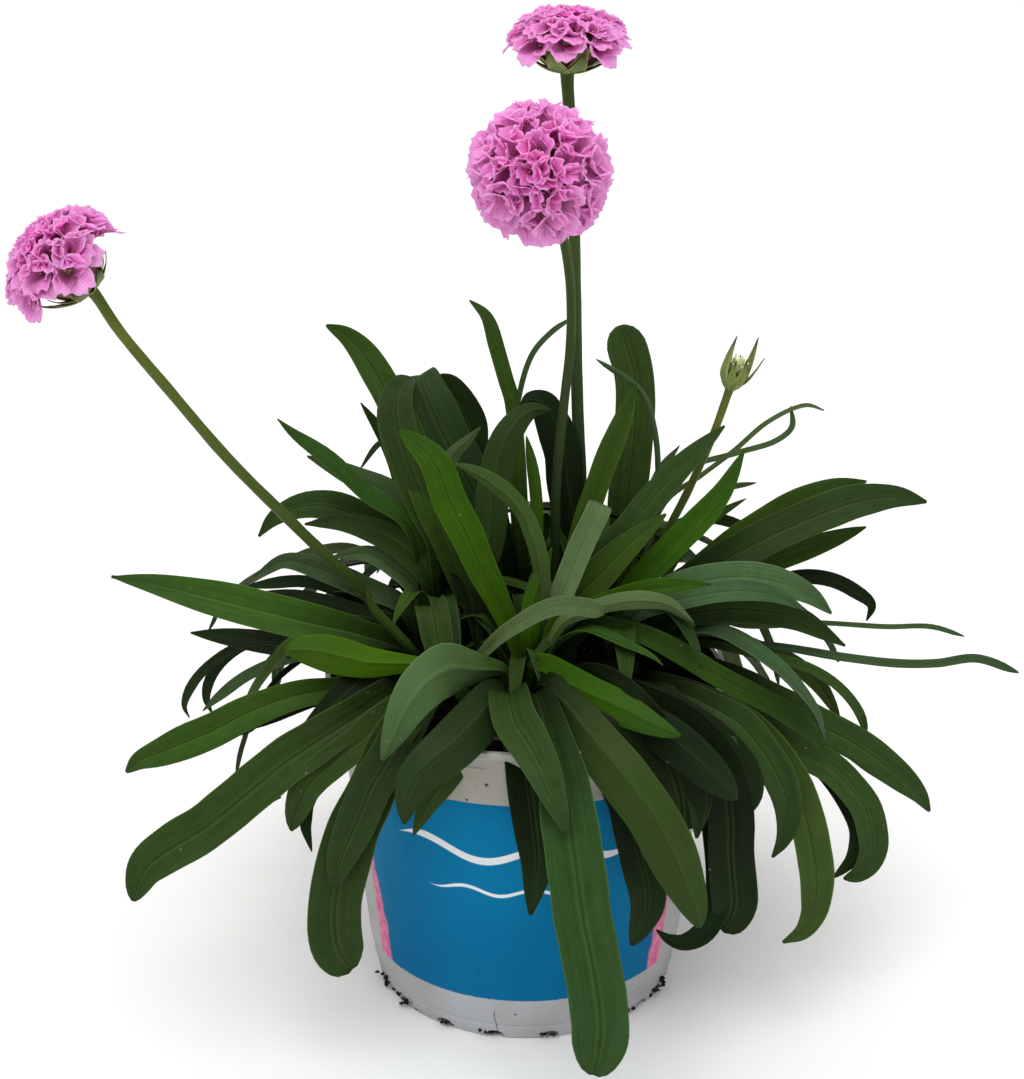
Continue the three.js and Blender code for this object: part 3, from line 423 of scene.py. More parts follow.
def cutArches(shell):
    cutter = archCutter()
    bpy.context.scene.collection.objects.link(cutter)
    arches = shell.modifiers.new("arches", "BOOLEAN")
    arches.operation = "DIFFERENCE"
    arches.solver = "EXACT"
    arches.object = cutter
    scene = bpy.context.evaluated_depsgraph_get()
    cut = bpy.data.meshes.new_from_object(shell.evaluated_get(scene))
    shell.modifiers.clear()
    bpy.data.objects.remove(cutter)
    return cut


def potMaterial():
    material, shader = startMaterial("pot_plastic", {"Specular IOR Level": 0.05})
    place = objectPlace(material)
    x, y, z = split(material, place)
    height = times(material, z, 1000)
    outer = reckon(material, "ARCTAN2", x, times(material, y, -1))
    bearing = minus(material, times(material, outer, 180 / math.pi), pot["labelTurn"])
    span = reckon(material, "ABSOLUTE", bearing)
    cloud = speckle(material, place, 35, 4)
    fine = speckle(material, place, 900, 3)
    plastic = blend(material, ramp(material, height, 20, 112), pot["plasticLow"], pot["plastic"])
    plastic = blend(material, ramp(material, cloud, 0.35, 0.75, 0, 0.5), plastic, pot["stain"])

    # Print: a blue field, a mottled pink margin at both ends and two plain white waves
    wobble = times(material, minus(material, fine, 0.5), pot["edgeWobble"])
    edge = plus(material, span, wobble)
    # The blue is painted darker toward the foot of the label: painted shade.
    field = blend(material, ramp(material, height, 25, 90), pot["blueLow"], pot["blue"])
    field = blend(material, ramp(material, cloud, 0.3, 0.8, 0, 0.35), field, pot["bluePatch"])
    mottle = speckle(material, place, 300, 5, 0.7)
    margin = blend(material, ramp(material, mottle, 0.35, 0.75), pot["pink"], pot["pinkPale"])
    sway = times(material, minus(material, speckle(material, place, 45, 3), 0.5), pot["marginSway"])
    lean = plus(material, plus(material, edge, sway), ramp(material, height, 70, 20, -2, 2.5))
    inner = pot["labelHalfAngle"] - pot["marginAngle"]
    field = blend(material, ramp(material, lean, inner - 0.6, inner + 0.8), field, margin)
    for level, thick, swing, count, reach in pot["waves"]:
        swell = reckon(material, "SINE", times(material, bearing, math.pi / 180 * count))
        line = plus(material, times(material, swell, swing), level)
        gap = reckon(material, "ABSOLUTE", minus(material, height, line))
        width = ramp(material, span, reach, reach - pot["waveTaper"], -0.3, thick)
        stroke = ramp(material, gap, plus(material, width, 0.15), minus(material, width, 0.15))
        field = blend(material, stroke, field, pot["print"])
    inSpan = ramp(material, edge, pot["labelHalfAngle"] + 0.3, pot["labelHalfAngle"] - 0.3)
    rough = plus(material, height, wobble)
    inHeight = reckon(material, "MULTIPLY",
                      ramp(material, rough, pot["labelFoot"] - 0.25, pot["labelFoot"] + 0.25),
                      ramp(material, rough, pot["labelTop"] + 0.25, pot["labelTop"] - 0.25))
    printed = times(material, inSpan, inHeight)
    colour = blend(material, printed, plastic, field)

    # Splashed soil: small dark specks, thicker near the foot
    flecks = addNode(material, "TexVoronoi", {"Vector": place, "Scale": 300}, output="Distance")
    pick = split(material, flecks.node.outputs["Color"])[0]
    size = times(material, reckon(material, "POWER", pick, 5), 0.34)
    some = speckle(material, place, 60, 2)
    dots = times(material, ramp(material, flecks, size, times(material, size, 0.6)),
                  ramp(material, some, 0.42, 0.56))
    dots = times(material, dots, ramp(material, printed, 0, 1, 0.9, 0.35))
    grime = ramp(material, speckle(material, place, 160, 6, 0.7), 0.6, 0.74, 0, 0.55)
    low = ramp(material, height, 14, 0, 0, 0.8)
    soiling = plus(material, times(material, grime, low), dots)
    colour = blend(material, reckon(material, "MINIMUM", soiling, 0.92), colour, pot["dirt"])
    drift = times(material, minus(material, cloud, 0.5), 9)
    crack = plus(material, minus(material, bearing, pot["crackBearing"]), drift)
    crack = reckon(material, "ABSOLUTE", crack)
    crack = times(material, ramp(material, crack, 0.35, 0.1), ramp(material, height, 15, 11))
    colour = blend(material, times(material, crack, 0.7), colour, pot["crack"])

    # The shell is dark inside: where its surface looks toward the pot's axis
    facing = addNode(material, "NewGeometry", {}, output="Normal")
    flat = addNode(material, "VectorMath", {0: place, 1: (1, 1, 0)}, operation="MULTIPLY")
    outward = addNode(material, "VectorMath", {0: flat}, operation="NORMALIZE")
    toward = addNode(material, "VectorMath", {0: outward, 1: facing}, output="Value",
                     operation="DOT_PRODUCT")
    colour = blend(material, ramp(material, toward, -0.15, -0.45), colour, pot["inside"])

    moulding = plus(material, times(material, fine, 0.15), cloud)
    shine = ramp(material, cloud, 0.3, 0.8, 0.48, 0.62)
    finishShader(material, shader, colour, shine, moulding, 0.12)
    return material


def makePot():
    p = pot
    seamRadius = between((p["footRadius"], p["bodyFootRadius"]), p["seamHeight"] / p["bodyFoot"])
    beadShare = (p["beadHeight"] - p["collarFoot"]) / (p["collarTop"] - p["collarFoot"])
    beadRadius = between((p["collarFootRadius"], p["collarTopRadius"]), beadShare)
    outline = [
        (0, 0), (p["footRadius"], 0), (seamRadius, p["seamHeight"] - p["seam"]),
        (seamRadius - p["seam"], p["seamHeight"]), (seamRadius, p["seamHeight"] + p["seam"]),
        (p["bodyFootRadius"], p["bodyFoot"]), (p["bodyTopRadius"], p["collarFoot"]),
        (p["collarFootRadius"], p["collarFoot"] + p["collarStep"]),
        (beadRadius, p["beadHeight"] - p["beadHalf"]), (beadRadius + p["bead"], p["beadHeight"]),
        (beadRadius, p["beadHeight"] + p["beadHalf"]),
        (p["collarTopRadius"], p["collarTop"]), (p["rimRadius"], p["collarTop"] + p["lipStep"]),
        (p["rimRadius"], p["height"]), (p["rimRadius"] - p["wall"] - p["lipDepth"], p["height"]),
        (p["collarFootRadius"] - p["wall"], p["collarFoot"] + p["shoulderDepth"]),
        (p["bodyTopRadius"] - p["wall"], p["collarFoot"] - p["shoulderDepth"]),
        (p["bodyFootRadius"] - p["wall"], p["bodyFoot"]),
        (p["footRadius"] - p["wall"] - p["collarStep"], p["floorThickness"]), (0, p["floorThickness"]),
    ]
    profile = roundedProfile(outline, p["cornerRadius"])
    shell = newPiece()
    angles = np.arange(p["sides"]) / p["sides"] * 2 * math.pi
    rows = profile[1:-1]
    rings = np.stack([np.outer(rows[:, 0], np.cos(angles)), np.outer(rows[:, 0], np.sin(angles)),
                      np.repeat(rows[:, 1:2], p["sides"], axis=1)], -1)
    points = np.concatenate([rings.reshape(-1, 3), [[0, 0, 0]], [[0, 0, p["floorThickness"]]]])
    addSkin(shell, points, tubeFaces(len(rows), p["sides"]), 0, 0)
    made = makePiece("pot_shell", shell, potMaterial(), ["pot"])
    made.data = cutArches(made)
    made.data.shade_smooth()
    made.data.set_sharp_from_angle(angle=math.radians(p["sharpAngle"]))


# Soil: a mound of crumbly peat with crumbs, fibres and a pale root by the front rim
soil = {
    "wall": [(55.1, 2.1), (59.6, 18), (67.5, 101), (69.2, 104), (69.2, 108)],    # radius, height
    "foot": 2.1, "edge": 112, "edgeRadius": 69.2, "crown": 117, "rings": 46, "sides": 150,
    "roughness": 1.5, "lumpScale": 0.09, "lumpSlice": 3.1,
    "crumbs": 600, "crumbSize": (0.5, 2.4), "crumbReach": 0.985, "crumbLift": 0.35, "brownShare": 0.8,
    "fibres": 90, "fibreReach": 0.8, "fibreLength": (8, 30), "fibreRadius": (0.12, 0.32), "fibreLift": 0.4,
    "rootRoute": [(-19, -53, 114.5), (-17.5, -52, 117.5), (-13, -51.5, 119.2), (-8.5, -51, 118.6),
                  (-5, -49, 115)],
    "rootRadius": 0.75, "rootRings": 24,
    "dark": paint(14, 11, 9), "brown": paint(34, 26, 20), "fibre": paint(112, 84, 56),
    "root": paint(196, 172, 134), "grain": paint(96, 74, 52), "paleCrumb": paint(92, 70, 50),
}
# One crumb: a squashed ball of three rings with every corner pushed in or out
crumb = {
    "sides": 7, "tilts": (-0.62, 0.0, 0.62), "tiltSpread": 1.35, "flatness": 0.8, "pole": 0.85,
    "push": (0.7, 1.25), "length": (0.8, 1.5), "height": (0.6, 1),
}


def soilHeight(x, y):
    radius = np.hypot(x, y)
    mound = soil["edge"] + (soil["crown"] - soil["edge"]) * (1 - (radius / soil["edgeRadius"]) ** 4)
    scale = soil["lumpScale"]
    lumps = [noise.fractal(Vector((a * scale, b * scale, soil["lumpSlice"])), 1.0, 2.0, 4)
             for a, b in zip(x, y)]
    return mound + soil["roughness"] * np.array(lumps)


def soilMaterial():
    material, shader = startMaterial("peat", {"Specular IOR Level": 0.25})
    place = objectPlace(material)
    coarse = speckle(material, place, 260, 6, 0.7)
    grains = speckle(material, place, 1400, 4, 0.7)
    tone = meshValue(material, "tone", "Color")
    colour = blend(material, ramp(material, coarse, 0.4, 0.7), soil["dark"], soil["brown"])
    colour = blend(material, ramp(material, grains, 0.62, 0.74, 0, 0.6), colour, soil["grain"])
    colour = blend(material, meshValue(material, "tone", "Alpha"), colour, tone)
    shine = ramp(material, coarse, 0.3, 0.7, 0.95, 0.7)
    finishShader(material, shader, colour, shine, plus(material, coarse, grains), 1.2)
    return material


def addCrumb(piece, centre, size, rng, tone):
    c = crumb
    angles = np.arange(c["sides"]) / c["sides"] * 2 * math.pi
    rings = []
    for tilt in c["tilts"]:
        radius = size * math.cos(tilt * c["tiltSpread"])
        height = size * math.sin(tilt * c["tiltSpread"]) * c["flatness"]
        rings += [(radius * math.cos(a), radius * math.sin(a), height) for a in angles]
    points = np.array(rings + [(0, 0, -size * c["pole"]), (0, 0, size * c["pole"])])
    points *= np.array([[rng.uniform(*c["push"])] for _ in points])
    turn = Matrix.Rotation(rng.uniform(0, 6.3), 3, (rng.gauss(0, 1), rng.gauss(0, 1), rng.gauss(0, 1) + 0.01))
    points = points @ np.array(turn).T * (rng.uniform(*c["length"]), 1, rng.uniform(*c["height"])) + centre
    addSkin(piece, points, tubeFaces(len(c["tilts"]), c["sides"]), 0, tone)


def addFibre(piece, start, bearing, length, radius, rng, tone, lift):
    points = [np.array(start, float)]
    for k in range(4):
        bearing += rng.uniform(-0.7, 0.7)
        step = length / 4
        rise = lift[k] if lift else rng.uniform(-0.5, 0.9)
        points.append(points[-1] + (step * math.cos(bearing), step * math.sin(bearing), rise))
    centres = curvePoints(points, np.linspace(0, 1, 12))
    addTube(piece, centres, radius * np.linspace(1, 0.35, 12), 6, (0, 0, 0), tone)


def makeSoil():
    s = soil
    rng = random.Random(11)
    material = soilMaterial()
    body = newPiece()
    angles = np.arange(s["sides"]) / s["sides"] * 2 * math.pi
    rings = [np.stack([r * np.cos(angles), r * np.sin(angles), np.full(s["sides"], float(z))], -1)
             for r, z in s["wall"]]
    for share in np.linspace(1, 0, s["rings"], endpoint=False):
        radius = s["edgeRadius"] * share
        x, y = radius * np.cos(angles), radius * np.sin(angles)
        rings.append(np.stack([x, y, soilHeight(x, y)], -1))
    centre = soilHeight(np.zeros(1), np.zeros(1))[0]
    points = np.concatenate([np.concatenate(rings), [[0, 0, s["foot"]], [0, 0, centre]]])
    addSkin(body, points, tubeFaces(len(rings), s["sides"]), 0, 0)
    makePiece("soil_body", body, material, ["soil"])

    loose = newPiece()
    for _ in range(s["crumbs"]):
        radius = s["edgeRadius"] * s["crumbReach"] * math.sqrt(rng.random())
        bearing = rng.uniform(0, 2 * math.pi)
        x, y = radius * math.cos(bearing), radius * math.sin(bearing)
        size = between(s["crumbSize"], rng.random() ** 2)
        base = soilHeight(np.array([x]), np.array([y]))[0]
        pick = rng.random()
        tone = (*s["brown"][:3], 0.0) if pick < s["brownShare"] else (*s["paleCrumb"][:3], 0.8)
        addCrumb(loose, np.array([x, y, base + size * s["crumbLift"]]), size, rng, tone)
    for _ in range(s["fibres"]):
        radius = s["edgeRadius"] * s["fibreReach"] * math.sqrt(rng.random())
        bearing = rng.uniform(0, 2 * math.pi)
        x, y = radius * math.cos(bearing), radius * math.sin(bearing)
        base = soilHeight(np.array([x]), np.array([y]))[0]
        addFibre(loose, (x, y, base + s["fibreLift"]), rng.uniform(0, 6.3),
                 between(s["fibreLength"], rng.random()), between(s["fibreRadius"], rng.random()), rng,
                 (*s["fibre"][:3], 0.9), None)
    root = curvePoints(s["rootRoute"], np.linspace(0, 1, s["rootRings"]))
    addTube(loose, root, np.full(s["rootRings"], s["rootRadius"]), 10, (0, 0, 0), (*s["root"][:3], 0.9))
    makePiece("soil_crumbs", loose, material)


# Dark roots and peat that have pushed out of some of the drain arches
rootTufts = {
    "bearings": (-67, -49, -31, -13, 7, 43, 61, 131, 205, 268),    # degrees right of the front
    "bigBearings": (-67, -49, 61),
    "small": {"lumps": 12, "size": 1, "spread": 0.03, "outward": 0.6, "pile": 1.2},
    "big": {"lumps": 24, "size": 1.3, "spread": 0.05, "outward": 2.4, "pile": 4},
    "radius": 58.5, "inward": 3.5, "lumpSize": (0.4, 1.3), "lumpLift": 0.15, "lumpShrink": 0.8,
    "hairs": 5, "hairStart": 3, "hairHeight": (1.0, 2.4), "hairLength": (2.5, 5.5), "hairRadius": (0.1, 0.2),
    "hairSpread": 0.06, "hairFall": [0.3, 0.0, -0.2, -0.3], "clearance": 0.05,
    "lumpTone": paint(52, 38, 28), "hairTone": paint(84, 62, 42),
}


def makeRootTufts(material):
    t = rootTufts
    rng = random.Random(5)
    piece = newPiece()
    for degrees in t["bearings"]:
        bearing = math.radians(degrees - 90)
        tuft = t["big"] if degrees in t["bigBearings"] else t["small"]
        for _ in range(tuft["lumps"]):
            turn = bearing + rng.gauss(0, tuft["spread"])
            size = between(t["lumpSize"], rng.random()) * tuft["size"]
            radius = t["radius"] - rng.uniform(-tuft["outward"], t["inward"])
            height = size + t["lumpLift"] + rng.uniform(0, tuft["pile"])
            centre = np.array([radius * math.cos(turn), radius * math.sin(turn), height])
            addCrumb(piece, centre, size * t["lumpShrink"], rng, (*t["lumpTone"][:3], 0.5))
        for _ in range(t["hairs"]):
            turn = bearing + rng.uniform(-t["hairSpread"], t["hairSpread"])
            radius = t["radius"] - t["hairStart"]
            start = (radius * math.cos(turn), radius * math.sin(turn), rng.uniform(*t["hairHeight"]))
            length = between(t["hairLength"], rng.random())
            addFibre(piece, start, turn + rng.uniform(-0.7, 0.7), length,
                     between(t["hairRadius"], rng.random()), rng, (*t["hairTone"][:3], 0.9), t["hairFall"])
    lowest = min(points[:, 2].min() for points in piece["points"])
    if lowest < t["clearance"]:
        piece["points"] = [points + (0, 0, t["clearance"] - lowest) for points in piece["points"]]
    makePiece("root_tufts", piece, material)


# Leaves: fleshy straps in rosettes, laid out by the readings of the photograph's view
foliage = {
    "crownHeight": 140, "rootDepth": 20, "rootReach": 3.5, "crownFoot": 108,
    "crowns": {"front": ((0, -20), 10), "left": ((-34, 2), 11), "right": ((34, -6), 11),
               "middle": ((2, 22), 9), "backLeft": ((-28, 44), 9), "backRight": ((30, 40), 9)},
    "ringGap": 3.4, "rings": (22, 58), "tipCrowding": 0.18, "bendCrowding": 0.3, "lastRing": 0.998,
    "lastSectionGap": 0.24, "sideEasing": 6,
    "thickness": 0.9, "edgeThickness": 0.3, "channel": 0.15, "channelSpread": (0.7, 1.25),
    "groove": 0.13, "grooveWidth": 0.05, "keel": 0.3, "keelWidth": 0.1, "bulge": 0.02,
    "wave": 0.018, "waveSpread": (0.2, 1.3), "wavePitch": (24, 48), "edgeWander": 0.013,
    "twist": 8, "twistFrom": 0.25, "slimTwist": 2.2, "slimWidth": 3, "fewColumnsWidth": 5, "leastHalf": 0.04,
    # outline: width share at the root, where it starts to widen and where it is widest
    "strap": (0.4, 0.0, 0.56),
    # tips: each pair gives the value for a sharp and for a blunt one
    "tipLength": (3.6, 0.95), "leastTip": 0.4, "tipPower": (1.6, 2.2), "tipEase": (0.85, 0.5),
    "bluntWidths": (9, 19), "bluntSpread": (-0.1, 0.25), "tipShares": (0.03, 0.6),
    "columns": (-1, -0.94, -0.78, -0.55, -0.3, -0.12, -0.045, 0, 0.045, 0.12, 0.3, 0.55, 0.78, 0.94, 1),
    "slimColumns": (-1, -0.7, -0.3, 0, 0.3, 0.7, 1),
    # Tones dark and shaded are painted shade: darker greens for blades that lie in the shadow of other
    # leaves. Soft is a lighter copy of deep, painted light for most blades that use it, those on the right
    # that the key light reaches less. The grey, glaucous and fold tones are partly the blades' waxy bloom and
    # partly painted satin sheen.
    "tones": {
        "deep": paint(44, 65, 27), "mid": paint(50, 76, 22), "bright": paint(46, 77, 5),
        "dark": paint(17, 29, 10), "grey": paint(70, 92, 56), "glaucousAndSheen": paint(84, 110, 74),
        "lime": paint(64, 106, 3), "olive": paint(50, 64, 22), "soft": paint(54, 77, 34),
        "fold": paint(70, 96, 56), "shaded": paint(34, 52, 25),
    },
    # The foot colour that follows is painted shade where plain blades run down into the rosette; stemmed
    # blades take the bright stem colour instead.
    "tipTone": paint(46, 66, 34), "rootTone": paint(32, 40, 12), "footShade": paint(13, 20, 6),
    "stemTone": paint(62, 92, 10), "toneJitter": 0.13, "warmJitter": 0.07,
    "tipFade": 0.62, "tipMix": (0.15, 0.5), "rootFade": 0.58, "stemFade": 0.5, "rootMix": 0.92,
    # these three are factors on a leaf's own tone
    "bloomAndSheen": (1.12, 1.22, 1.7, 1), "margin": (2.1, 1.9, 2.2, 1), "under": (1.2, 1.2, 1.3, 1),
    "spot": paint(140, 150, 110), "vein": paint(16, 26, 8), "rib": paint(14, 24, 8),
    "shoulder": paint(110, 140, 60),
    # crown: (height over its foot, share of its radius)
    "crownProfile": [(0, 0.9), (6, 1.0), (12, 1.0), (18, 0.95), (24, 0.85), (28, 0.62), (31, 0.35),
                     (32, 0.12)],
    "crownSides": 28, "crownRidges": 9, "crownRidgeDepth": 0.1, "sheaths": 9, "sheathWidth": 0.9,
    "sheathTop": (30, 38), "sheathLean": (0, 6),
}
# Leaf rows: crown, tone, width, facing and readings (across, up, toward); facing 1 shows the eye the whole
# blade and 0 lets it lie square to its own arch
namedLeaves = [
    ("tallBroadLeft", "front", "mid", 11.5, 0.85, [(-14, 140, 16), (-22.5, 154.6, 14), (-25.5, 163, 12),
        (-29.4, 174, 9), (-34, 185.6, 5), (-38, 198, -1), (-41.6, 213, -8), (-45.6, 222.7, -14),
        (-50.5, 233, -20), (-56.6, 243.8, -25), (-63, 251, -27), (-70.5, 255, -27)]),
    ("broadArchLeft", "left", "deep", 14, 0.5, [(-30, 174, 6), (-36, 188, 3), (-41.5, 202, 0), (-45, 214, -4),
        (-46.5, 223, -8), (-45.5, 230, -12), (-43, 234.5, -17), (-40, 236, -23)]),
    ("darkArchLeft", "middle", "shaded", 12, 0.95, [(-38, 200, -26), (-37.5, 215, -28), (-36, 224, -30),
        (-33, 230, -31), (-28.3, 231.8, -32), (-24.9, 228.8, -32), (-22, 224.6, -32), (-19.7, 219.7, -32),
        (-18.5, 213, -31), (-18.5, 203, -30)]),
    ("darkFaceLeft", "middle", "shaded", 19, 0.5, [(-14, 180, -8), (-18, 192, -10), (-24, 204, -12),
        (-30, 216, -15), (-34.5, 227, -19), (-37, 234, -24), (-37.5, 237, -30), (-37.5, 236, -36)]),
    ("darkUpright", "front", "dark", 8, 0.8, [(-17.5, 132, 14), (-18, 150, 10), (-19, 168, 6),
        (-25, 184, 0)]),
    ("slimTall", "middle", "mid", 6, 0.7, [(-2, 190, -10), (-4.9, 227, -21), (-7.1, 234.8, -23),
        (-10.4, 246.9, -26), (-14, 258, -28), (-20, 264, -30)]),
    ("thinArc", "middle", "grey", 2.2, 0.5, [(-5, 200, -28), (-3, 226, -32), (2, 244, -36), (9, 252.5, -38),
        (17, 258, -40)]),
    ("narrowLeft", "left", "mid", 6.5, 0.7, [(-42, 180, 2), (-57, 192, 0), (-70, 205, -2), (-84, 216, -4),
        (-89, 221, -4)]),
    ("paleLeft", "left", "grey", 10, 0.8, [(-36, 180, -4), (-50, 193, -8), (-60, 198, -10), (-70, 203, -12),
        (-79, 207, -13)]),
    ("tipBehindLeft", "left", "mid", 6, 0.7, [(-45, 195, -20), (-50, 212, -24), (-59, 227, -28)]),
    ("darkCurl", "middle", "dark", 3, 0.5, [(-35, 205, -12), (-45, 213, -14), (-52, 212, -15),
        (-60, 202, -15)]),
    ("brightFront", "front", "bright", 12, 0.9, [(-2, 128, 24), (-7.3, 144, 26), (-12.1, 155.3, 28),
        (-17, 165.6, 29), (-21.6, 177.2, 29), (-25.7, 185.5, 28), (-28.7, 193.1, 27), (-31, 200.5, 26),
        (-34, 206.1, 25), (-38.2, 210.5, 24), (-41.7, 213.5, 23), (-45.6, 216.6, 22)]),
    ("paleTip", "middle", "grey", 5.5, 0.8, [(-22, 170, 13), (-28, 188, 13), (-28.5, 200, 12),
        (-26.3, 207.4, 11), (-21.4, 212.3, 10), (-15.9, 218, 8)]),
    ("paleArch", "front", "soft", 6.6, 0.7, [(6, 160, 30), (4, 172, 30), (1.8, 179, 29), (-0.6, 184.9, 28),
        (-6, 191.9, 28), (-12, 197.1, 27.5), (-19.1, 201.5, 27), (-26.3, 204.3, 26)]),
    ("broadArch", "middle", "deep", 12, 0.85, [(-17, 160, 10), (-13.5, 174, 9), (-12.3, 184, 8),
        (-12, 192, 7), (-10.5, 200.6, 6), (-8.7, 208.7, 5), (-6, 215.4, 3.5), (-1.8, 221.2, 1),
        (2.8, 224.2, -2), (9.3, 224, -5)]),
    ("darkArchRight", "middle", "dark", 14, 0.85, [(19, 150, -4), (18.5, 165, -6), (17.5, 180, -8),
        (15.8, 190, -10), (14.2, 198.1, -11), (13.6, 207.4, -12.5), (11.3, 215.4, -14), (8.9, 221.5, -15.5),
        (6.3, 226.3, -16.5), (2.2, 227.6, -16.5), (-1.9, 225.8, -15.5)]),
    ("slimUpright", "middle", "bright", 4.5, 0.8, [(6, 155, 8), (4.3, 167.5, 8), (4.2, 185.6, 7),
        (3.5, 195, 6), (2, 205.6, 5), (0.2, 214.8, 4)]),
    ("darkTipped", "middle", "mid", 9, 0.8, [(13, 150, 0), (19, 170, -2), (23, 185.5, -4), (25.4, 193.1, -5),
        (28.9, 204.3, -7), (33, 215.4, -9), (37, 227, -12), (39.6, 234, -13)]),
    ("tallBroadRight", "backRight", "soft", 15, 0.9, [(34, 160, -30), (37, 190, -32), (39, 215, -34),
        (38.5, 237, -36), (33, 255, -37)]),
    ("thinCurlRight", "backRight", "grey", 2.2, 0.5, [(46, 170, -18), (48, 200, -16), (46, 218, -15),
        (41, 231, -15), (24.5, 243, -17)]),
    ("leaningRight", "right", "deep", 10, 0.9, [(24, 160, 12), (38, 180, 10), (52, 198, 6), (62, 209, 3),
        (71.5, 218.5, 0)]),
    ("leaningLow", "right", "bright", 10, 0.9, [(38, 152, 14), (52, 170, 12), (63, 182, 9), (72, 194, 6),
        (79, 209.5, 2)]),
    ("greyTip", "backRight", "grey", 5, 0.7, [(46, 192, -28), (50, 203, -30), (55.5, 211, -32)]),
    ("bluntBent", "front", "glaucousAndSheen", 8.8, 0.9, [(5, 128, 26), (9.2, 140.6, 27), (13, 151.9, 27.5),
        (16.6, 161.7, 27.5), (21.2, 174, 27), (25.2, 183, 26), (26.8, 187, 24.5), (27.6, 189, 21)]),
    ("centreTip", "front", "bright", 7.2, 0.85, [(2, 138, 30), (2.8, 150, 30), (4.6, 157, 30),
        (7.3, 164, 29.5), (9.7, 172, 28)]),
    ("broadBrightRight", "front", "mid", 12, 0.9, [(18, 150, 20), (28, 162, 19), (38, 173, 17),
        (51.5, 185, 14)]),
    ("tendrilLong", "right", "grey", 2.2, 0.5, [(50, 188, -20), (64, 200, -22), (75, 209, -24),
        (87, 220, -26), (100, 226, -28), (107, 224, -28)]),
    ("tendrilHooked", "right", "grey", 2.2, 0.5, [(50, 190, -14), (58, 202, -16), (75.5, 208, -20),
        (90.5, 213, -24), (95.5, 218, -26), (94.5, 226, -28)]),
    ("thinTipRight", "backRight", "grey", 2.4, 0.5, [(60, 180, -30), (72, 194, -34), (84, 197, -36)]),
    ("smallTipRight", "right", "mid", 3.5, 0.6, [(56, 168, -26), (70, 184, -30), (80.5, 191, -32)]),
    ("darkBehindRight", "backRight", "dark", 5, 0.6, [(45, 170, -30), (62, 183, -34), (76, 181.5, -36),
        (87, 175.5, -38)]),
    ("fanUpper", "backRight", "mid", 10, 0.8, [(60, 160, -14), (80, 177, -20), (98, 189, -24),
        (112, 195, -26), (124, 197.5, -28)]),
    ("fanMiddle", "right", "deep", 14, 0.85, [(45, 148, 0), (62, 160, -4), (80, 171, -8), (100, 181.5, -12),
        (120, 189.5, -15), (135, 191.5, -17), (146.5, 189.5, -18)]),
    ("fanLower", "right", "mid", 9, 0.8, [(60, 152, -10), (80, 162, -14), (100, 170, -18), (115, 176, -20),
        (125, 180, -22)]),
    ("greyArchRight", "right", "grey", 11, 0.8, [(45, 150, 16), (62, 158, 16), (80, 160.5, 15), (95, 158, 14),
        (106, 153, 13), (114.5, 145.5, 12)]),
    ("paleFoldRight", "right", "grey", 8, 0.8, [(40, 144, 20), (60, 152, 20), (80, 155, 19), (93, 153, 18),
        (105, 147, 16)]),
    ("hookedRight", "backRight", "dark", 6, 0.8, [(80, 152, -24), (100, 160, -28), (112, 159.5, -31),
        (122, 155, -33), (129, 149, -34), (127.5, 142.5, -34)]),
    ("broadLowRight", "right", "deep", 11, 0.8, [(45, 140, 12), (70, 147, 10), (88, 147, 8), (102, 143.5, 6),
        (120.5, 132.5, 4)]),
    ("brightRight", "front", "bright", 7.5, 0.85, [(12, 143, 30), (22, 147, 31), (30, 150.2, 31),
        (36.5, 152.4, 30.5), (43.4, 154.6, 30), (50, 156.2, 29.5), (57, 156.8, 29), (63.5, 157.4, 28),
        (69.2, 157.3, 27)]),
    ("greyFrontRight", "front", "grey", 6.6, 0.85, [(14, 142, 34), (24, 147, 35), (31, 149.6, 35.5),
        (40, 151, 35.5), (47, 150.9, 35), (54, 149.3, 34.5), (59, 145.5, 34), (63.2, 142, 33)]),
    ("threadRight", "backRight", "grey", 2.4, 0.5, [(62, 148, -32), (80, 141, -30), (110, 142, -32),
        (135, 140.5, -34), (152, 140.5, -34), (165, 136.5, -34)]),
    ("longThinRight", "right", "grey", 3.4, 0.8, [(60, 134, 0), (90, 133, -4), (120, 128, -8),
        (140, 125.5, -10), (155, 125.5, -12), (170, 127.5, -14), (187, 121.5, -16)]),
    ("thinHoopRight", "right", "deep", 4, 0.7, [(60, 133, 8), (90, 128.5, 8), (105, 124.5, 7),
        (117, 117.5, 6), (126, 107.5, 5), (130, 98, 4), (129, 92, 4)]),
    ("oliveRight", "right", "olive", 7, 0.8, [(66, 138, -6), (88, 131, -10), (100, 126, -14), (110, 118, -16),
        (117, 108, -17), (121, 100, -17)]),
    ("longBrightRight", "front", "mid", 8, 0.85, [(25, 141, 30), (38, 139, 30), (47.8, 135.6, 30),
        (58.4, 129.7, 30), (69.2, 122.5, 29.5), (80, 116.1, 29), (91.5, 110, 28), (101.5, 103.5, 27),
        (109.5, 96.5, 27), (114, 90.5, 26), (116, 86, 26)]),
    ("longBroadRight", "right", "soft", 13, 0.85, [(50, 128, 10), (75, 121, 12), (95, 110, 12),
        (115, 98.5, 12), (126, 92.5, 11), (135.5, 85.5, 11), (146.5, 76.5, 10), (153.5, 69.5, 10),
        (158, 62.3, 10)]),
    ("hangingInnerRight", "right", "soft", 12, 0.85, [(60, 113, 34), (70, 108, 39), (82, 100.5, 44),
        (90, 91, 47), (96.5, 81, 49), (101, 71, 50), (103, 60, 50), (101.5, 50, 50), (97.5, 42, 50)]),
    ("hangingOuterRight", "right", "soft", 13, 0.85, [(50, 118, 28), (72, 109, 34), (88, 97, 38),
        (99, 83, 41), (107, 68, 43), (112, 52, 44), (115, 38, 45), (116, 26, 46), (115, 16, 46),
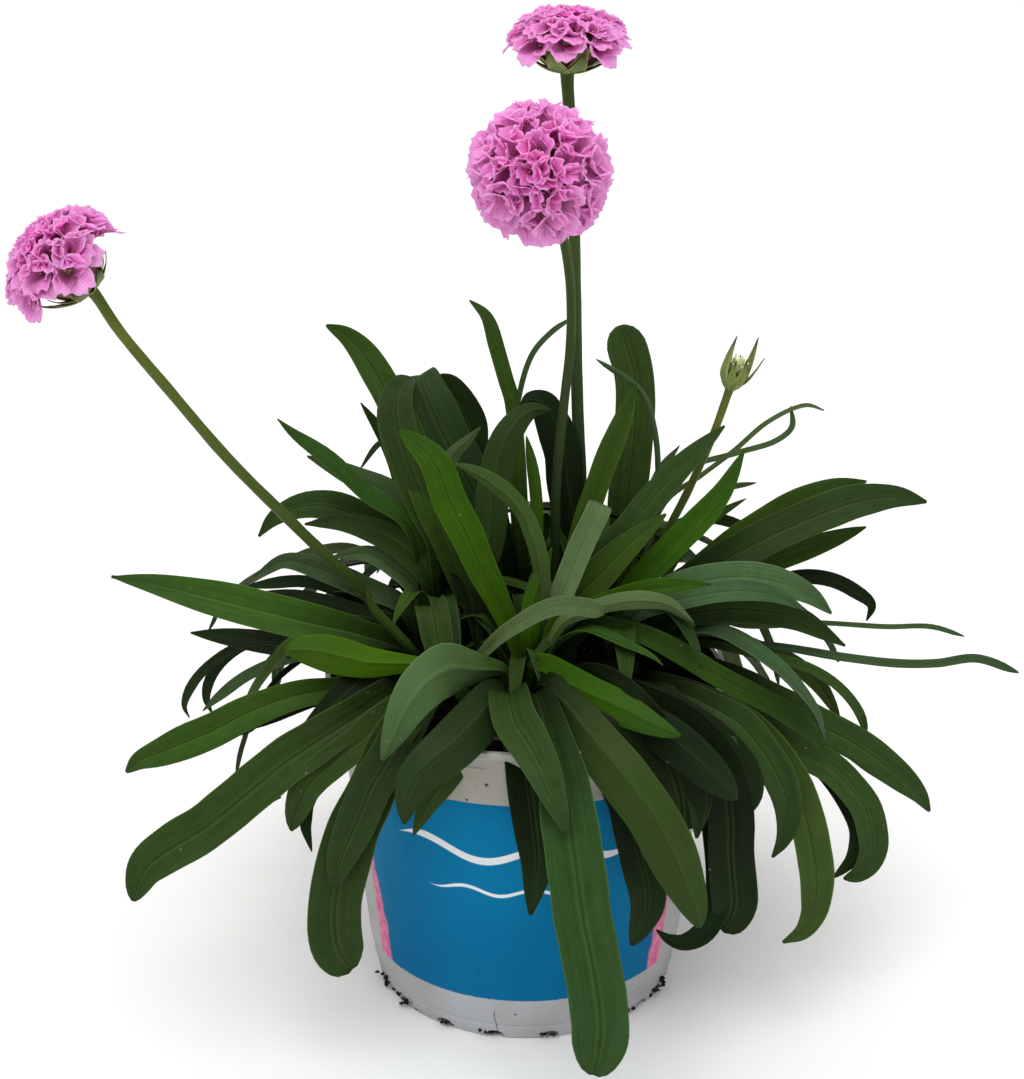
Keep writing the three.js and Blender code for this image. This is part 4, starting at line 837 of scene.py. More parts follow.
        (111.5, 8.5, 47), (103.5, 3.2, 48)]),
    ("curlingRight", "right", "soft", 12, 0.85, [(60, 128, 12), (78, 115, 15), (93, 100, 17), (103, 90.5, 18),
        (118, 81.5, 19), (126, 73.5, 20), (132.5, 64.5, 21), (135.7, 54.5, 22), (137, 46.5, 22),
        (135.5, 39.5, 22), (131.5, 34.5, 22), (126, 32.5, 22)]),
    ("curlingTip", "right", "dark", 7, 0.85, [(60, 124, 6), (90, 104, 10), (112, 84, 13), (124, 68, 15),
        (130, 55.5, 17), (130.5, 48.5, 18), (129, 41.5, 18), (125, 36, 18), (121.5, 32.5, 18)]),
    ("brightFrontRight", "front", "bright", 12.5, 0.9, [(5, 122.5, 36), (14, 118.5, 48), (27, 111.5, 58),
        (39, 105.5, 64), (50, 99.5, 68), (60, 94.8, 72)]),
    ("darkFrontRight", "right", "dark", 14.5, 0.85, [(25, 112, 44), (42, 102, 60), (54, 95, 66), (66, 85, 70),
        (76, 75, 71), (82.5, 67.5, 70)]),
    ("darkOuterRight", "right", "dark", 13, 0.85, [(35, 116, 34), (60, 103, 44), (76, 90.5, 49),
        (84.5, 80, 52), (87.5, 71, 54), (85.5, 59, 55)]),
    ("greyHangingRight", "front", "shaded", 12, 0.9, [(45, 108, 44), (56, 98, 50), (63, 87, 55), (67, 76, 61),
        (68, 66, 65), (67.5, 50.5, 66)]),
    ("shadedOuter", "front", "dark", 19, 0.9, [(26, 116, 50), (38, 106, 62), (48, 94, 63), (56, 83, 65),
        (60.5, 69, 65), (62, 54, 64)]),
    ("shadedRight", "front", "dark", 18, 0.9, [(20, 108, 42), (30, 98, 50), (40, 86, 56), (47, 74, 59),
        (52, 62, 60), (55, 50, 60), (56, 41, 60)]),
    ("shadedFront", "front", "dark", 15, 0.9, [(13, 108, 48), (23, 98, 58), (32, 86, 64), (37.5, 75, 66),
        (41, 63, 67), (43, 54, 67)]),
    ("broadHangingRight", "right", "dark", 16.5, 0.9, [(40, 112, 46), (60, 100, 54), (72, 86, 58),
        (78, 72, 60), (80.5, 58, 61), (81, 45, 61), (82.5, 32, 61), (83.5, 21.8, 61), (82, 14, 61),
        (78.5, 9, 61)]),
    ("broadFrontRight", "front", "deep", 17.5, 0.9, [(8, 116, 48), (14, 110, 56), (21.5, 100, 66),
        (28.5, 90.5, 74), (36, 80.7, 80), (43, 70.5, 84), (49.5, 61, 86), (57.3, 45.5, 88), (63.8, 30, 89),
        (68, 19, 90), (70.5, 10, 90)]),
    ("curledUnderRight", "right", "dark", 9, 0.85, [(45, 112, 44), (58, 100, 52), (69, 80, 56), (75, 50, 58),
        (76.5, 22, 60), (71.5, 8, 61), (64, 3.5, 61), (58, 5, 61), (52.8, 9.3, 61)]),
    ("darkHangingFront", "front", "dark", 14, 0.9, [(18, 108, 52), (30, 92, 62), (38, 74, 68), (42.5, 56, 70),
        (45.5, 42, 71), (48.5, 30, 72), (49, 20, 72), (46.5, 11, 72), (43, 1.6, 72)]),
    ("longHangingFront", "front", "deep", 19, 0.95, [(5, 112, 52), (10, 94, 70), (15, 75, 84), (18, 55, 96),
        (20.5, 38, 103), (23.5, 15, 110), (28.5, -12, 115.5), (31.5, -38, 119), (29, -61, 120)]),
    ("greyFront", "front", "deep", 15, 0.9, [(-6, 112, 58), (-3.5, 101, 72), (1.5, 92, 81), (7, 80.7, 90),
        (10.7, 70.8, 95), (14, 60.8, 99), (16.5, 52.2, 102)]),
    ("darkFront", "front", "dark", 15, 0.9, [(-4, 110, 54), (-1, 97, 66), (1.5, 76, 75), (3.7, 56, 79),
        (5.2, 40.5, 81), (4, 29, 82), (2.4, 15.7, 83)]),
    ("greyFrontLeft", "front", "shaded", 17, 0.95, [(-10, 112, 54), (-19, 101, 70), (-26.5, 92.5, 81),
        (-34.8, 85, 86), (-41.1, 78.5, 88), (-44.6, 71.5, 89), (-46.3, 64.5, 89.5), (-47, 57, 90)]),
    ("darkFrontLeft", "front", "deep", 9.5, 0.9, [(-6, 112, 46), (-15, 99, 60), (-24.5, 86, 68),
        (-32, 74.5, 72), (-37.5, 66, 74), (-41, 58.5, 75), (-43.5, 52, 75.5)]),
    ("greyFoldFrontLeft", "front", "fold", 19, 0.9, [(-8, 122.2, 36), (-15.7, 122.9, 44),
        (-20.2, 122.8, 49), (-24.7, 123.2, 54), (-29.6, 122.6, 60), (-34.6, 119.6, 66), (-39.5, 115, 71),
        (-43.5, 109.2, 75), (-47, 102.6, 78), (-49.9, 96, 80), (-52, 91.4, 81), (-54.9, 84.6, 81)]),
    ("darkHangingLeft", "left", "shaded", 14, 0.9, [(-36, 116, 44), (-44, 102, 58), (-52.8, 85, 75),
        (-59, 74.2, 78), (-65.1, 59.2, 80), (-71.4, 43.9, 81), (-74.3, 34.6, 81.5), (-75.2, 28.4, 81.5)]),
    ("broadHangingLeft", "left", "deep", 18.5, 0.95, [(-34, 118, 38), (-42, 106, 52), (-50.6, 94.6, 66),
        (-55.2, 83, 70), (-60.2, 69.2, 73), (-66.8, 55.2, 75), (-72.8, 33.6, 76.5), (-75, 23.2, 77),
        (-75.8, 9.5, 77), (-74.8, 1, 77), (-72.4, -5, 76.5), (-69, -9.5, 76)]),
    ("longLowLeft", "left", "deep", 16.5, 0.9, [(-50, 114, 42), (-62, 105, 52), (-75, 96, 58),
        (-91.5, 84.5, 62), (-102.3, 75.2, 63), (-113.5, 65.2, 64), (-125.7, 54.9, 65), (-137.9, 47.1, 66),
        (-148.9, 38.3, 66), (-153.2, 29.5, 66), (-155.7, 22, 66)]),
    ("underLongLeft", "left", "dark", 10, 0.85, [(-50, 117, 34), (-62, 109, 44), (-75, 100.5, 50),
        (-90, 89.5, 54), (-105, 79, 57), (-118, 69, 58)]),
    ("curledTipLeft", "left", "dark", 4.5, 0.9, [(-60, 100, 46), (-80, 86, 52), (-100, 74, 56),
        (-110, 67.5, 57), (-112, 64.5, 57), (-108, 64.5, 57), (-100, 67.2, 57), (-94.3, 68.8, 57)]),
    ("longMiddleLeft", "left", "mid", 12.5, 0.9, [(-50, 119.5, 24), (-59.4, 117.4, 30), (-72.2, 114.8, 36),
        (-84.5, 112.9, 39), (-97, 108.8, 42), (-107.7, 104, 43), (-118.5, 98, 45), (-130.2, 92.7, 46),
        (-140.1, 88.2, 46), (-148.5, 84.6, 46), (-154.2, 79.4, 46)]),
    ("crossingDarkLeft", "left", "dark", 10.5, 0.9, [(-52, 126, 30), (-60, 121.5, 38), (-66, 116, 44),
        (-72, 110, 48), (-78, 104, 51), (-84, 98, 53), (-90, 93.5, 54)]),
    ("curledTipUnder", "left", "dark", 4.5, 0.9, [(-60, 116, 24), (-80, 110, 32), (-98, 102.5, 35),
        (-107, 99.5, 36), (-109, 97.5, 36), (-106, 98.2, 37), (-101, 101.3, 37), (-97.3, 103.8, 37)]),
    ("greyHangingLeft", "left", "deep", 11.5, 0.9, [(-42, 112, 44), (-50, 104.5, 54), (-56, 100, 58),
        (-62.9, 93.3, 61), (-72.2, 85.5, 63), (-80.8, 77.9, 65), (-85, 72.5, 66), (-87.2, 67.3, 66),
        (-89.3, 61.5, 66), (-91.4, 53.7, 66)]),
    ("tailLeft", "left", "dark", 5, 0.7, [(-50, 110, 44), (-60, 99, 54), (-74, 84, 58), (-84.5, 66, 60),
        (-85.3, 60, 61), (-85.5, 55, 61), (-84.6, 50, 61), (-83.6, 44.5, 61)]),
    ("longUpperLeft", "left", "mid", 14, 0.9, [(-45, 131, 18), (-62, 137.5, 22), (-80, 142, 24),
        (-100, 147.5, 25), (-120, 153, 25), (-140, 158, 24), (-153.5, 160.5, 23)]),
    ("shortLeft", "left", "dark", 9, 0.8, [(-60, 130, -4), (-82, 131.5, -8), (-95, 133.5, -10),
        (-110, 136, -12), (-125.5, 138, -13)]),
    ("outerHoopLeft", "backLeft", "dark", 4.5, 0.7, [(-62, 144, -18), (-77, 139.5, -21), (-92, 136.5, -24),
        (-105, 133, -26), (-116, 127, -28), (-125, 118, -29), (-129.5, 108, -30), (-128, 102.5, -30)]),
    ("innerHoopLeft", "backLeft", "dark", 4.5, 0.7, [(-62, 145, -24), (-80, 140, -27), (-98, 136, -30),
        (-110, 130, -32), (-118, 121, -33), (-121, 111, -34), (-119, 104, -34)]),
    ("greyHoopLeft", "left", "grey", 4.5, 0.8, [(-60, 129, 0), (-78, 130, -4), (-92, 126.5, -6),
        (-105, 120.5, -8), (-116, 112, -9), (-123, 105.5, -10)]),
    ("curlBehindLeft", "left", "dark", 3, 0.5, [(-70, 133, -10), (-88, 124, -14), (-101, 109, -16),
        (-108, 92, -16), (-112, 77, -16)]),
    ("limeLeft", "front", "lime", 13.5, 1, [(-8, 122.6, 32), (-20, 124, 35), (-32, 125, 38),
        (-46.4, 125.4, 41), (-59.6, 125.8, 43), (-65.7, 127.3, 43.5), (-72.6, 129.1, 44),
        (-78.6, 130.5, 44.5), (-85.5, 131.1, 45), (-90.5, 130.6, 45)]),
    ("archedUpperLeft", "left", "deep", 12, 0.8, [(-38, 165, -6), (-48, 177, -12), (-60, 183.5, -16),
        (-72, 188, -18), (-83, 187.5, -20), (-92, 183, -21), (-98, 176, -21)]),
    ("archedUnderLeft", "left", "deep", 11, 0.8, [(-35, 160, 4), (-44, 171, 0), (-53, 177, -4),
        (-66, 181.5, -8), (-81, 181, -10)]),
    ("archedMiddleLeft", "left", "grey", 9, 0.8, [(-45, 148, -2), (-60, 156, -6), (-70, 161, -8),
        (-80, 165, -10), (-89, 166.5, -11), (-100.5, 160.5, -12)]),
    ("darkLowLeft", "backLeft", "dark", 5, 0.7, [(-55, 146, -20), (-70, 155, -24), (-82, 158.5, -26),
        (-104, 156.5, -29)]),
    ("thinLowLeft", "left", "dark", 5, 0.7, [(-50, 142, 6), (-65, 148, 5), (-80, 152, 4), (-100, 154, 3)]),
    ("thinnerLowLeft", "left", "dark", 4, 0.7, [(-50, 138, 8), (-68, 145, 8), (-84, 149, 8), (-97, 151, 8)]),
    ("greyArchLeft", "left", "grey", 8, 0.8, [(-38, 152, 0), (-48, 164, -2), (-58, 169.5, -4),
        (-72, 168, -6)]),
    ("greyCrossingLeft", "left", "deep", 11.5, 0.9, [(-38, 138, 14), (-36, 146, 20), (-35, 149, 26),
        (-34, 144, 32), (-32.5, 134, 37), (-28.5, 122, 41), (-22.5, 111, 43), (-17.5, 103, 44)]),
    ("smallCurlLeft", "left", "mid", 3.5, 0.8, [(-42, 130, 30), (-50, 140, 32), (-56.5, 148, 33),
        (-59, 155, 33)]),
    ("smallArchFront", "left", "glaucousAndSheen", 6.4, 0.85, [(-20, 124, 34), (-15.8, 129.6, 42), (-9.2, 136.7, 48),
        (-2.6, 141.4, 52), (4.4, 145.9, 55), (11.3, 148.6, 57), (18.3, 148.8, 58), (24.6, 147.7, 58.5),
        (29.8, 146, 58.5)]),
]
# Arched leaves of the far side, drawn by rule: bearings in degrees round from +X
farLeafGroups = [
    {"crown": "backLeft", "count": 8, "bearings": (58, 172), "reach": (72, 112), "crest": (140, 156),
     "drop": (18, 92), "width": (8, 16)},
    {"crown": "backRight", "count": 8, "bearings": (12, 122), "reach": (72, 112), "crest": (140, 156),
     "drop": (18, 92), "width": (8, 16)},
    {"crown": "middle", "count": 3, "bearings": (60, 120), "reach": (84, 112), "crest": (158, 168),
     "drop": (8, 40), "width": (8, 13)},
    {"crown": "left", "count": 3, "bearings": (150, 196), "reach": (66, 84), "crest": (141, 149),
     "drop": (30, 70), "width": (9, 14)},
    {"crown": "right", "count": 3, "bearings": (-16, 32), "reach": (66, 88), "crest": (141, 149),
     "drop": (30, 70), "width": (9, 14)},
]
# Short inner leaves that fill each rosette, and the young leaf that stands in its middle
innerLeaves = {
    "seed": 27, "count": {"front": 10, "left": 11, "right": 11, "middle": 9, "backLeft": 13, "backRight": 13},
    "reach": (20, 52), "crest": {"front": (142, 156), "left": (146, 168), "right": (146, 168),
                                 "middle": (150, 182), "backLeft": (146, 176), "backRight": (146, 176)},
    "drop": (0, 30), "width": (5, 10),
    "youngHeight": (24, 46), "youngLean": (9, 17), "youngWidth": (4, 6.5), "youngFacing": 0.3,
}
# Course of such a leaf: (share of its reach, share of its drop, how far under its crest)
archShape = [(0.14, 0, 12), (0.4, 0, 0), (0.72, 0.26, 0), (0.93, 0.68, 0), (1, 1, 0)]
# Outlines that differ from a plain strap, in the same three numbers; each such blade also gets a bright stem
# where a plain blade has painted shade at its foot
leafOutlines = {
    "limeLeft": (0.28, 0.42, 0.86), "smallArchFront": (0.24, 0.1, 0.88), "brightRight": (0.3, 0.1, 0.7),
    "greyFoldFrontLeft": (0.18, 0.16, 0.62), "greyFrontRight": (0.34, 0.1, 0.76),
    "broadHangingLeft": (0.4, 0.1, 0.72), "longMiddleLeft": (0.45, 0.1, 0.74),
    "brightFrontRight": (0.62, 0.0, 0.4), "brightFront": (0.4, 0.05, 0.66),
}
# Tips that are blunter (1) or sharper (0) than their width says
tipShapes = {
    "tallBroadRight": 1.1, "bluntBent": 1.2, "longUpperLeft": 0.0, "limeLeft": 0.8, "longLowLeft": 0.6,
    "brightFront": 0.5, "longMiddleLeft": 0.45, "fanMiddle": 0.3, "hangingOuterRight": 0.25,
    "tallBroadLeft": 0.4, "smallArchFront": 1.0, "broadHangingLeft": 1.05, "longHangingFront": 0.95,
    "greyHangingLeft": 0.6, "greyFoldFrontLeft": 0.35, "greyFront": 0.3, "darkFront": 0.3,
    "darkFrontLeft": 0.3, "greyFrontLeft": 0.5, "brightFrontRight": 0.4, "curlingRight": 0.5,
    "darkHangingFront": 0.5, "broadFrontRight": 0.6, "darkFaceLeft": 0.8, "darkArchLeft": 0.8,
}


def leafTaper(share, blunt, outline, slimness):
    rootWidth, start, wide = outline
    tipLength = max(foliage["leastTip"], between(foliage["tipLength"], blunt))
    closing = np.clip(tipLength * slimness, *foliage["tipShares"])
    grown = rootWidth + (1 - rootWidth) * smooth(start, min(wide, 1 - closing * 0.8), share)
    beyond = np.clip((share - 1 + closing) / closing, 0, 1)
    return grown * (1 - beyond ** between(foliage["tipPower"], blunt)) ** between(foliage["tipEase"], blunt)


# Where the rings of a leaf go along it: closer together in its bends and at its tip
def ringShares(points):
    fine = np.linspace(0, 1, 360)
    places, length = placesByLength(points, fine)
    turns = np.linalg.norm(np.diff(unit(np.gradient(curveAt(points, places), axis=0)), axis=0), axis=1)
    middle = (fine[1:] + fine[:-1]) / 2
    weight = (1 + foliage["tipCrowding"] / np.sqrt(1.004 - middle)) / len(middle)
    weight = weight + foliage["bendCrowding"] * turns
    count = int(np.clip(length / foliage["ringGap"], *foliage["rings"]))
    walked = np.concatenate([[0], np.cumsum(weight)])
    shares = np.interp(np.linspace(0, 1, count) * walked[-1], walked, fine)
    shares[-1] = foliage["lastRing"]
    return shares


# Direction across a leaf at each ring: worked out where its readings are, and eased between them
def leafSides(points, places, ahead, facing, growsAcross):
    spans = len(points) - 1
    marks = np.append(np.arange(spans), spans - foliage["lastSectionGap"])
    eye = np.array(stage["eye"], float)
    centres = curveAt(points, marks)
    tangents = unit(curveAt(points, marks + 1e-3) - curveAt(points, marks - 1e-3 * (marks > 0)))
    before = growsAcross
    sides = []
    for centre, tangent in zip(centres, tangents):
        shown = unit(np.cross(tangent, eye - centre))
        shown = -shown if np.dot(shown, before) < 0 else shown
        side = growsAcross * (1 - facing) + shown * facing
        side = unit(side - tangent * np.dot(side, tangent))
        before = -side if np.dot(side, before) < 0 else side
        sides.append(before)
    sides = np.array(sides)
    eased = np.stack([np.interp(places, marks, sides[:, k]) for k in range(3)], -1)
    for _ in range(foliage["sideEasing"]):
        eased[1:-1] = (eased[:-2] + 2 * eased[1:-1] + eased[2:]) / 4
    return unit(eased - ahead * np.sum(eased * ahead, axis=1, keepdims=True))


# One strap blade: channelled along its middle, thin at its waved edges, and blunt at its tip
def addLeaf(piece, points, width, facing, growsAcross, tone, rng, name=None):
    f = foliage
    points = np.asarray(points, float)
    shares = ringShares(points)
    places, length = placesByLength(points, shares)
    centres = curveAt(points, places)
    ahead = unit(np.gradient(centres, axis=0))
    sides = leafSides(points, places, ahead, facing, growsAcross)
    normals = np.cross(ahead, sides)
    slim = width < f["slimWidth"]
    turn = math.radians(rng.gauss(0, f["twist"])) * (shares - f["twistFrom"])
    turn = turn * (f["slimTwist"] if slim else 1)
    sides, normals = (sides * np.cos(turn)[:, None] + normals * np.sin(turn)[:, None],
                      normals * np.cos(turn)[:, None] - sides * np.sin(turn)[:, None])

    columns = np.array(f["slimColumns"] if width < f["fewColumnsWidth"] else f["columns"], float)
    drawn = np.clip(smooth(*f["bluntWidths"], width) + rng.uniform(*f["bluntSpread"]), 0, 1)
    blunt = tipShapes.get(name, drawn)
    half = width / 2 * leafTaper(shares, blunt, leafOutlines.get(name, f["strap"]), width / length)
    half = np.maximum(half, f["leastHalf"] * width)[:, None]
    phases = [rng.uniform(0, 6.3) for _ in range(6)]
    pitch = rng.uniform(*f["wavePitch"])
    travel = (shares * length / pitch * 2 * math.pi)[:, None]
    isLeft = columns < 0
    ripple = np.where(isLeft, np.sin(travel + phases[0]) + 0.5 * np.sin(2.3 * travel + phases[1]),
                      np.sin(1.13 * travel + phases[2]) + 0.5 * np.sin(1.9 * travel + phases[3]))
    wander = np.where(isLeft, np.sin(1.6 * travel + phases[4]), np.sin(1.4 * travel + phases[5]))
    across = columns * half * (1 + f["edgeWander"] * wander)
    span = np.abs(columns)
    fold = f["channel"] * rng.uniform(*f["channelSpread"]) * (1.5 - 0.8 * smooth(0, 0.8, shares))[:, None]
    rise = 0 if slim else fold * half * 2 * span ** 1.15
    crest = f["bulge"] * half * np.sin(math.pi * span)
    waved = f["wave"] * rng.uniform(*f["waveSpread"]) * 2 * half * span ** 2 * ripple
    waved = waved * smooth(0.05, 0.3, shares)[:, None]
    full = smooth(0, 5, half * 2)
    groove = f["groove"] * np.exp(-(columns / f["grooveWidth"]) ** 2) * full
    frontLift = rise + crest + waved - groove
    body = f["edgeThickness"] + (f["thickness"] - f["edgeThickness"]) * (1 - span ** 2.5)
    body = body * (0.55 + 0.45 * full) + f["keel"] * np.exp(-(columns / f["keelWidth"]) ** 2) * full
    front = centres[:, None] + sides[:, None] * across[..., None] + normals[:, None] * frontLift[..., None]
    behind = front - normals[:, None] * body[..., None]

    place = np.zeros(front.shape)
    place[..., 0] = columns
    place[..., 1] = shares[:, None]
    shade = math.exp(rng.gauss(0, f["toneJitter"]))
    warm = rng.gauss(0, f["warmJitter"])
    base = np.array(tone[:3]) * shade * (1 + warm, 1, 1 - warm)
    tipMix = (smooth(f["tipFade"], 1, shares) * rng.uniform(*f["tipMix"]))[:, None]
    stemmed = name in leafOutlines
    fade = f["stemFade" if stemmed else "rootFade"]
    # Toward its foot a plain blade is painted dark, as painted shade inside the rosette; a stemmed blade is
    # painted its bright stem colour there instead.
    rootMix = (1 - smooth(0.1, fade, shares))[:, None] * f["rootMix"]
    colours = base * (1 - tipMix) + np.array(f["tipTone"][:3]) * shade * tipMix
    colours = colours * (1 - rootMix) + np.array(f["stemTone" if stemmed else "footShade"][:3]) * rootMix
    tones = np.concatenate([colours, np.full((len(shares), 1), rng.random())], -1)
    addSheet(piece, front, behind, place, np.repeat(tones[:, None], len(columns), axis=1))


def crownHeart(crown):
    (x, y), _ = foliage["crowns"][crown]
    return np.array([x, y, foliage["crownHeight"] - foliage["rootDepth"]], float)


def flatDirection(start, end):
    return unit(np.array([end[0] - start[0], end[1] - start[1], 0.0]))


def addNamedLeaf(piece, name, crown, tone, width, facing, readings, rng):
    points = [alongSight(reading) for reading in readings]
    heart = crownHeart(crown)
    root = heart + flatDirection(heart, points[0]) * foliage["rootReach"]
    across = np.cross(up, flatDirection(root, points[-1]))
    addLeaf(piece, [root] + points, width, facing, across, foliage["tones"][tone], rng, name)


def addArchedLeaf(piece, crown, bearing, reach, crest, drop, width, sweep, tone, rng):
    outward = np.array([math.cos(bearing), math.sin(bearing), 0])
    across = np.cross(up, outward)
    root = crownHeart(crown) + outward * foliage["rootReach"]
    points = [root]
    for share, dropShare, rise in archShape:
        point = root + outward * reach * share + across * sweep * share * share
        point[2] = crest - rise - drop * dropShare
        points.append(point)
    addLeaf(piece, points, width, 0, across, foliage["tones"][tone], rng)


def addYoungLeaf(piece, crown, draw, rng):
    s = innerLeaves
    bearing = draw() * 2 * math.pi
    outward = np.array([math.cos(bearing), math.sin(bearing), 0])
    height = between(s["youngHeight"], draw())
    lean = between(s["youngLean"], draw())
    width = between(s["youngWidth"], draw())
    root = crownHeart(crown)
    middle, tip = root + outward * lean * 0.3, root + outward * lean
    middle[2] = foliage["crownHeight"] + height / 2
    tip[2] = foliage["crownHeight"] + height
    addLeaf(piece, [root, middle, tip], width, s["youngFacing"], np.cross(up, outward),
            foliage["tones"]["mid"], rng)


# The fleshy crown under a rosette, wrapped in the pale sheaths of old leaves
def addCrown(piece, crown, rng):
    f = foliage
    (x, y), radius = f["crowns"][crown]
    centres = np.array([(x, y, f["crownFoot"] + height) for height, _ in f["crownProfile"]], float)
    radii = radius * np.array([share for _, share in f["crownProfile"]])
    heartTone = (*f["rootTone"][:3], 0.3)
    addTube(piece, centres, radii, f["crownSides"], (0.5, 0.02, 0), heartTone, f["crownRidges"],
            f["crownRidgeDepth"])
    for k in range(f["sheaths"]):
        bearing = k * goldenAngle + rng.uniform(-0.2, 0.2)
        outward = np.array([math.cos(bearing), math.sin(bearing), 0])
        foot = np.array([x, y, f["crownFoot"] + 2]) + outward * radius * 0.95
        points = [foot, foot + outward * 1.2 + (0, 0, 12), foot - outward * radius * 0.2 + (0, 0, 22),
                  foot + outward * rng.uniform(*f["sheathLean"]) + (0, 0, rng.uniform(*f["sheathTop"]))]
        addLeaf(piece, points, radius * f["sheathWidth"], 0, np.cross(up, outward), f["rootTone"], rng)


def leafMaterial():
    f = foliage
    material, shader = startMaterial("leaf_blade", {"Specular IOR Level": 0.06})
    across, along, under = split(material, meshValue(material, "place"))
    tone = meshValue(material, "tone", "Color")
    chance = meshValue(material, "tone", "Alpha")
    place = objectPlace(material)
    span = reckon(material, "ABSOLUTE", across)
    own = times(material, chance, 37)
    streakPlace = join(material, times(material, across, 2.6), times(material, along, 1.3), own)
    streak = speckle(material, streakPlace, 1.7, 5, 0.62)
    finePlace = join(material, times(material, across, 16), times(material, along, 3), own)
    fibres = speckle(material, finePlace, 1.5, 3, 0.6)
    blotch = speckle(material, place, 55, 3)
    mottle = speckle(material, place, 240, 4, 0.65)
    grain = speckle(material, place, 1500, 2)

    # Colour: long streaks, bluish patches that are partly waxy bloom and partly painted sheen, a dark midrib,
    # veins and pale thin margins painted as edge highlights
    colour = blend(material, 1.0, tone, blend(material, streak, (0.5, 0.52, 0.55, 1), (1.46, 1.44, 1.3, 1)),
                   "MULTIPLY")
    colour = blend(material, 1.0, colour, blend(material, mottle, (0.68, 0.7, 0.72, 1), (1.32, 1.3, 1.26, 1)),
                   "MULTIPLY")
    colour = blend(material, 1.0, colour, blend(material, fibres, (0.8, 0.8, 0.84, 1), (1.2, 1.2, 1.16, 1)),
                   "MULTIPLY")
    # Bluish patches toward the edges and tip: partly the leaf's waxy bloom, partly painted satin sheen.
    outer = times(material, ramp(material, span, 0.15, 0.95, 0.25, 1),
                   ramp(material, along, 0.4, 1.0, 0.06, 0.55))
    bloomAndSheenPatches = times(material, ramp(material, blotch, 0.36, 0.66, 0.1, 0.7), outer)
    colour = blend(material, bloomAndSheenPatches, colour, blend(material, 1.0, tone, f["bloomAndSheen"], "MULTIPLY"))
    wander = times(material, minus(material, streak, 0.5), 0.5)
    lines = reckon(material, "SINE", times(material, plus(material, span, wander), 34))
    veins = ramp(material, lines, 0.1, 1)
    colour = blend(material, times(material, veins, 0.07), colour, f["vein"])
    rib = ramp(material, span, 0.042, 0.012)
    shoulder = times(material, ramp(material, span, 0.05, 0.1), ramp(material, span, 0.2, 0.1))
    colour = blend(material, times(material, rib, 0.3), colour, f["rib"])
    colour = blend(material, times(material, shoulder, 0.08), colour, f["shoulder"])
    # Pale thin margins: a painted highlight along each edge of the blade.
    colour = blend(material, ramp(material, span, 0.93, 0.99, 0, 0.8), colour,
                   blend(material, 1.0, tone, f["margin"], "MULTIPLY"))
    colour = blend(material, times(material, ramp(material, under, 0.4, 0.6), 0.5), colour,
                   blend(material, 1.0, tone, f["under"], "MULTIPLY"))
    spots = addNode(material, "TexVoronoi", {"Vector": place, "Scale": 140}, output="Distance")
    spotted = times(material, ramp(material, spots, 0.09, 0.05), ramp(material, blotch, 0.5, 0.7))
    colour = blend(material, times(material, spotted, 0.5), colour, f["spot"])

    height = plus(material, times(material, veins, -0.2),
                    plus(material, fibres, times(material, grain, 0.25)))
    shine = ramp(material, blotch, 0.3, 0.75, 0.4, 0.52)
    finishShader(material, shader, colour, shine, height, 0.14)
    return material


def makeFoliage():
    material = leafMaterial()
    rosettes = {crown: newPiece() for crown in foliage["crowns"]}
    for k, (name, crown, tone, width, facing, readings) in enumerate(namedLeaves):
        rng = random.Random(f"{name}{k}")
        addNamedLeaf(rosettes[crown], name, crown, tone, width, facing, readings, rng)
    draw = seededRandom(innerLeaves["seed"])
    rng = random.Random(3)
    for group in farLeafGroups:
        first, last = group["bearings"]
        step = (last - first) / max(1, group["count"] - 1)
        for k in range(group["count"]):
            bearing = math.radians(first + step * (k + 0.5 * (draw() - 0.5)))
            sizes = [between(group[key], draw()) for key in ("reach", "crest", "drop", "width")]
            addArchedLeaf(rosettes[group["crown"]], group["crown"], bearing, *sizes, 24 * (draw() - 0.5),
                          rng.choice(["deep", "mid", "olive", "grey", "deep"]), rng)
    for crown in foliage["crowns"]:
        addYoungLeaf(rosettes[crown], crown, draw, rng)
    for crown, count in innerLeaves["count"].items():
        for k in range(count):
            bearing = k * goldenAngle + rng.uniform(-0.3, 0.3)
            addArchedLeaf(rosettes[crown], crown, bearing, between(innerLeaves["reach"], rng.random()),
                          between(innerLeaves["crest"][crown], rng.random()),
                          between(innerLeaves["drop"], rng.random()),
                          between(innerLeaves["width"], rng.random()), rng.uniform(-8, 8),
                          rng.choice(["deep", "dark", "mid"]), rng)
        addCrown(rosettes[crown], crown, rng)
    for crown, piece in rosettes.items():
        makePiece("rosette_" + crown, piece, material, ["foliage"])


# Flower stalks, each running up out of the soil and into its head along the head's own axis
stalks = {
    "foot": 100, "upright": 123, "budRadius": 1.55, "seatAhead": 1.5, "seatBehind": 2,
    "rows": 90, "sides": 28, "ridges": 7, "ridgeDepth": 0.035,
    "footSwell": 1.08, "thinning": 0.14, "neckSwell": 0.16, "ripples": ((41, 0.02), (97, 0.012)),
    # a yellowish patch a little under the head: where it is, its half length and its strength
    "patch": (0.9, 0.025, 0.4),
    "green": paint(58, 78, 26), "headGreen": paint(84, 100, 34), "shadeGreen": paint(34, 54, 22),
    "yellow": paint(124, 122, 44), "fleck": paint(70, 62, 40),
}
